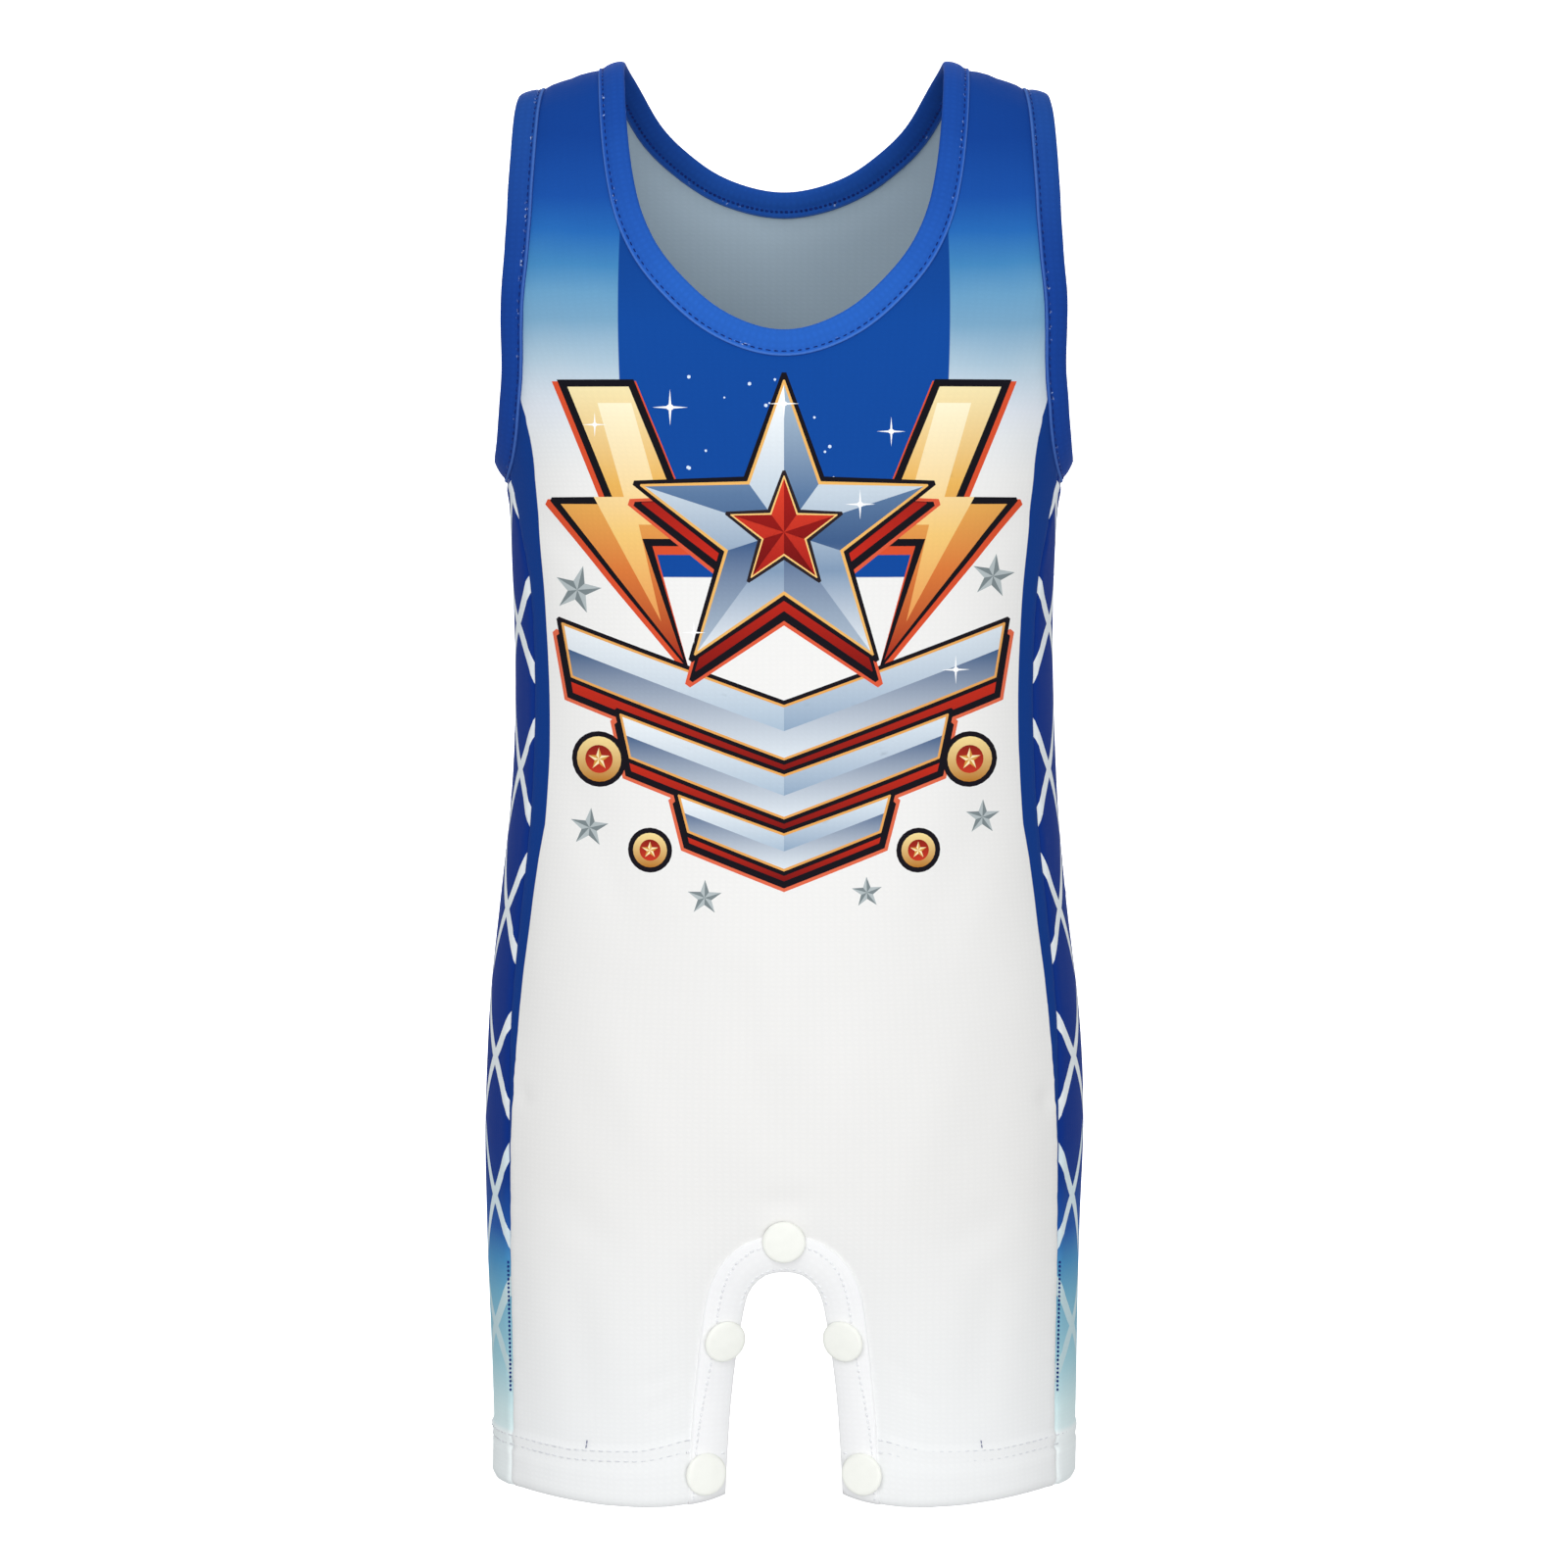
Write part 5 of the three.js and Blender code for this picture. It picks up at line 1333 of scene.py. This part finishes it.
for side in (-1, 1):
    white_lines.append(on_cloth(locate([18.2 * side, 28.2 * side], [-408.5, -407.6]), 0.36))
stitch_lines("placket_stitches", white_lines, white_thread, 0.0019, 0.00075)
hem_rows = locate([0, 0], [HEM_TOP - 0.9, HEM_TOP - 3.7])[:, 1]
hem_lines = []
left_leg = placket_seam[len(ARCH) // 2:]
for row, height in zip(hem_rows, (0.42, 0.05)):
    edge = seam_angle(np.array([row]))[0]
    start = left_leg[np.argmin(np.abs(left_leg[:, 1] - row)), 0] + 1.2
    for side in (-1, 1):
        for low, high in ((start, edge - 0.6), (edge + 0.6, SIDE_BACK - 0.6), (SIDE_BACK + 0.6, 160)):
            angles = np.linspace(low, high, 60)
            spots, out = on_cloth(np.column_stack([angles * side, np.full(60, row)]), height)
            spots[:, 2] += hem_drop(spots[:, 0], spots[:, 2])
            hem_lines.append((spots, out))
stitch_lines("hem_stitches", hem_lines, hem_thread, 0.0026, 0.00042)

# Snaps: five flat moulded caps outside and five stud rings inside, ivory acetal resin, pressed
# through both plackets. Each cap has a crisp rolled rim and a very slightly domed face.
snap_resin = new_material("ivory_acetal_resin")
grain, ivory = mottled(snap_resin, 320.0, 3.0, [(0.3, "F3F4ED"), (0.7, "F6F7F0")])
relief = add_node(snap_resin, "Bump", {"Strength": 0.1, "Distance": 0.0001, "Height": grain})
resin = add_node(snap_resin, "BsdfPrincipled", {
    "Roughness": 0.42, "IOR": 1.48, "Base Color": ivory, "Normal": relief})
add_node(snap_resin, "OutputMaterial", {"Surface": resin})
# Turned sections, bottom to top: radius, height
CAP = [(0.0, 0.12), (5.4, 0.0), (5.9, 0.05), (6.2, 0.3), (6.3, 0.6), (6.28, 0.85), (6.12, 1.15),
       (5.8, 1.38), (5.3, 1.52), (4.6, 1.58), (3.0, 1.68), (1.2, 1.74), (0.0, 1.75)]
STUD = [(0.0, 0.05), (3.4, 0.0), (3.7, 0.15), (3.8, 0.4), (3.65, 0.75), (3.2, 1.05), (2.6, 1.15),
        (2.1, 1.1), (1.8, 0.75), (0.0, 0.7)]
CAP_RADIUS, STUD_RADIUS = 6.3, 3.8
# Where each snap is seen from the front: x, z
SNAPS = {
    "middle": (0.0, -344.3), "left_upper": (17.6, -374.4), "right_upper": (-17.6, -374.4),
    "left_lower": (23.2, -414.2), "right_lower": (-23.2, -414.2),
}


def turned_solid(name, profile, base, direction, segments=48):
    """Closed round piece turned from rows of radius and height."""
    turn = Vector((0, 0, 1)).rotation_difference(Vector(direction)).to_matrix()
    points = []
    for radius, height in profile[1:-1]:
        for i in range(segments):
            angle = 2 * math.pi * i / segments
            points.append((radius * math.cos(angle), radius * math.sin(angle), height))
    rows = len(profile) - 2
    points += [(0, 0, profile[0][1]), (0, 0, profile[-1][1])]
    low, high = rows * segments, rows * segments + 1
    faces = []
    for i in range(segments):
        j = (i + 1) % segments
        faces.append([low, j, i])
        faces.append([high, (rows - 1) * segments + i, (rows - 1) * segments + j])
        for k in range(rows - 1):
            a, b = k * segments, (k + 1) * segments
            faces.append([a + i, a + j, b + j, b + i])
    return make_mesh(name, np.array([tuple(turn @ Vector(p)) for p in points]) + base, faces)


def unevenness(place, out, radius):
    """How far the cloth stands above and falls below a flat disc that touches it."""
    turn, down = tangents(place[None])
    across, along = np.meshgrid(np.arange(-6, 7) / 5, np.arange(-6, 7) / 5)
    angles = place[0] + across.ravel() * radius / np.linalg.norm(turn)
    rows = np.minimum(place[1] + along.ravel() * radius / np.linalg.norm(down), LAST)
    step = skin(np.column_stack([angles, rows])) - skin(place[None])
    height = (step @ out)[np.linalg.norm(step, axis=1) < radius * 1.06]
    return max(0, height.max()), max(0, -height.min())


for name, (x, z) in SNAPS.items():
    place = locate([x], [z])[0]
    out = normal(place[None])[0]
    face = skin(place[None])[0]
    above = unevenness(place, out, CAP_RADIUS)[0]
    below = unevenness(place, out, STUD_RADIUS)[1]
    cap = turned_solid(f"snap_cap_{name}_resin", CAP, face + out * (0.5 + above), out)
    stud = turned_solid(f"snap_stud_{name}_resin", STUD, face - out * (3.6 + below), -out)
    for piece, node in ((cap, f"snap_cap_{name}"), (stud, f"snap_stud_{name}")):
        piece.data.materials.append(snap_resin)
        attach(piece, "root")
        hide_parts(node)

# Studio: white floor and backdrop in one swept sheet, well below and behind the garment, and four
# large soft lamps. The camera stands 1.7 m in front and looks slightly down, as in the photo.
sweep = [(-1.6, -0.72), (1.3, -0.72), (1.5, -0.7), (1.66, -0.63), (1.77, -0.52), (1.83, -0.36), (1.85, -0.2),
         (1.85, 2.2)]
points = [(x, y, z) for y, z in sweep for x in (-3.0, 3.0)]
faces = [[2 * k, 2 * k + 1, 2 * k + 3, 2 * k + 2] for k in range(len(sweep) - 1)]
floor = make_mesh("studio_floor", np.array(points) * 1000, faces)
paper = new_material("white_studio_paper")
tone = mottled(paper, 6.0, 2.0, [(0.3, "FBFBFB"), (0.7, "FDFDFD")])[1]
coat = add_node(paper, "BsdfPrincipled", {
    "Roughness": 0.9, "Emission Strength": 0.95, "Base Color": tone, "Emission Color": tone})
add_node(paper, "OutputMaterial", {"Surface": coat})
floor.data.materials.append(paper)
floor.visible_diffuse = False
for name, spot, target, size, power in (
        ("key_softbox", (-0.6, -2.0, 0.85), (0, 0, -0.2), 1.3, 18.5),
        ("fill_softbox", (0.6, -2.1, -0.45), (0, 0, -0.22), 1.3, 16.6),
        ("top_softbox", (0.0, -0.2, 1.3), (0, 0, -0.2), 1.2, 1.5),
        ("back_softbox", (0.0, 1.3, 0.95), (0, 0, -0.2), 1.1, 9.0)):
    data = bpy.data.lights.new(name, "AREA")
    data.shape = "SQUARE"
    data.size = size
    data.energy = power
    lamp = bpy.data.objects.new(name, data)
    bpy.context.scene.collection.objects.link(lamp)
    lamp.location = spot
    lamp.rotation_euler = (Vector(target) - Vector(spot)).to_track_quat("-Z", "Y").to_euler()
world = bpy.data.worlds.new("studio_air")
world.use_nodes = True
air = world.node_tree.nodes["Background"]
air.inputs["Color"].default_value = (0.97, 0.985, 1.0, 1.0)
air.inputs["Strength"].default_value = 0.53
bpy.context.scene.world = world
bpy.context.scene.view_settings.view_transform = "Standard"
lens = bpy.data.cameras.new("photo_camera")
FOCAL_PIXELS, PHOTO_PIXELS, SENSOR = 5817, 1600, 36
lens.lens = FOCAL_PIXELS / PHOTO_PIXELS * SENSOR
lens.clip_end = 20
camera = bpy.data.objects.new("photo_camera", lens)
bpy.context.scene.collection.objects.link(camera)
DISTANCE, DROP = 1700, 94.8
camera.location = (0, -DISTANCE / 1000, -0.12)
camera.rotation_euler = (math.pi / 2 - math.atan(DROP / DISTANCE), 0, 0)
bpy.context.scene.camera = camera
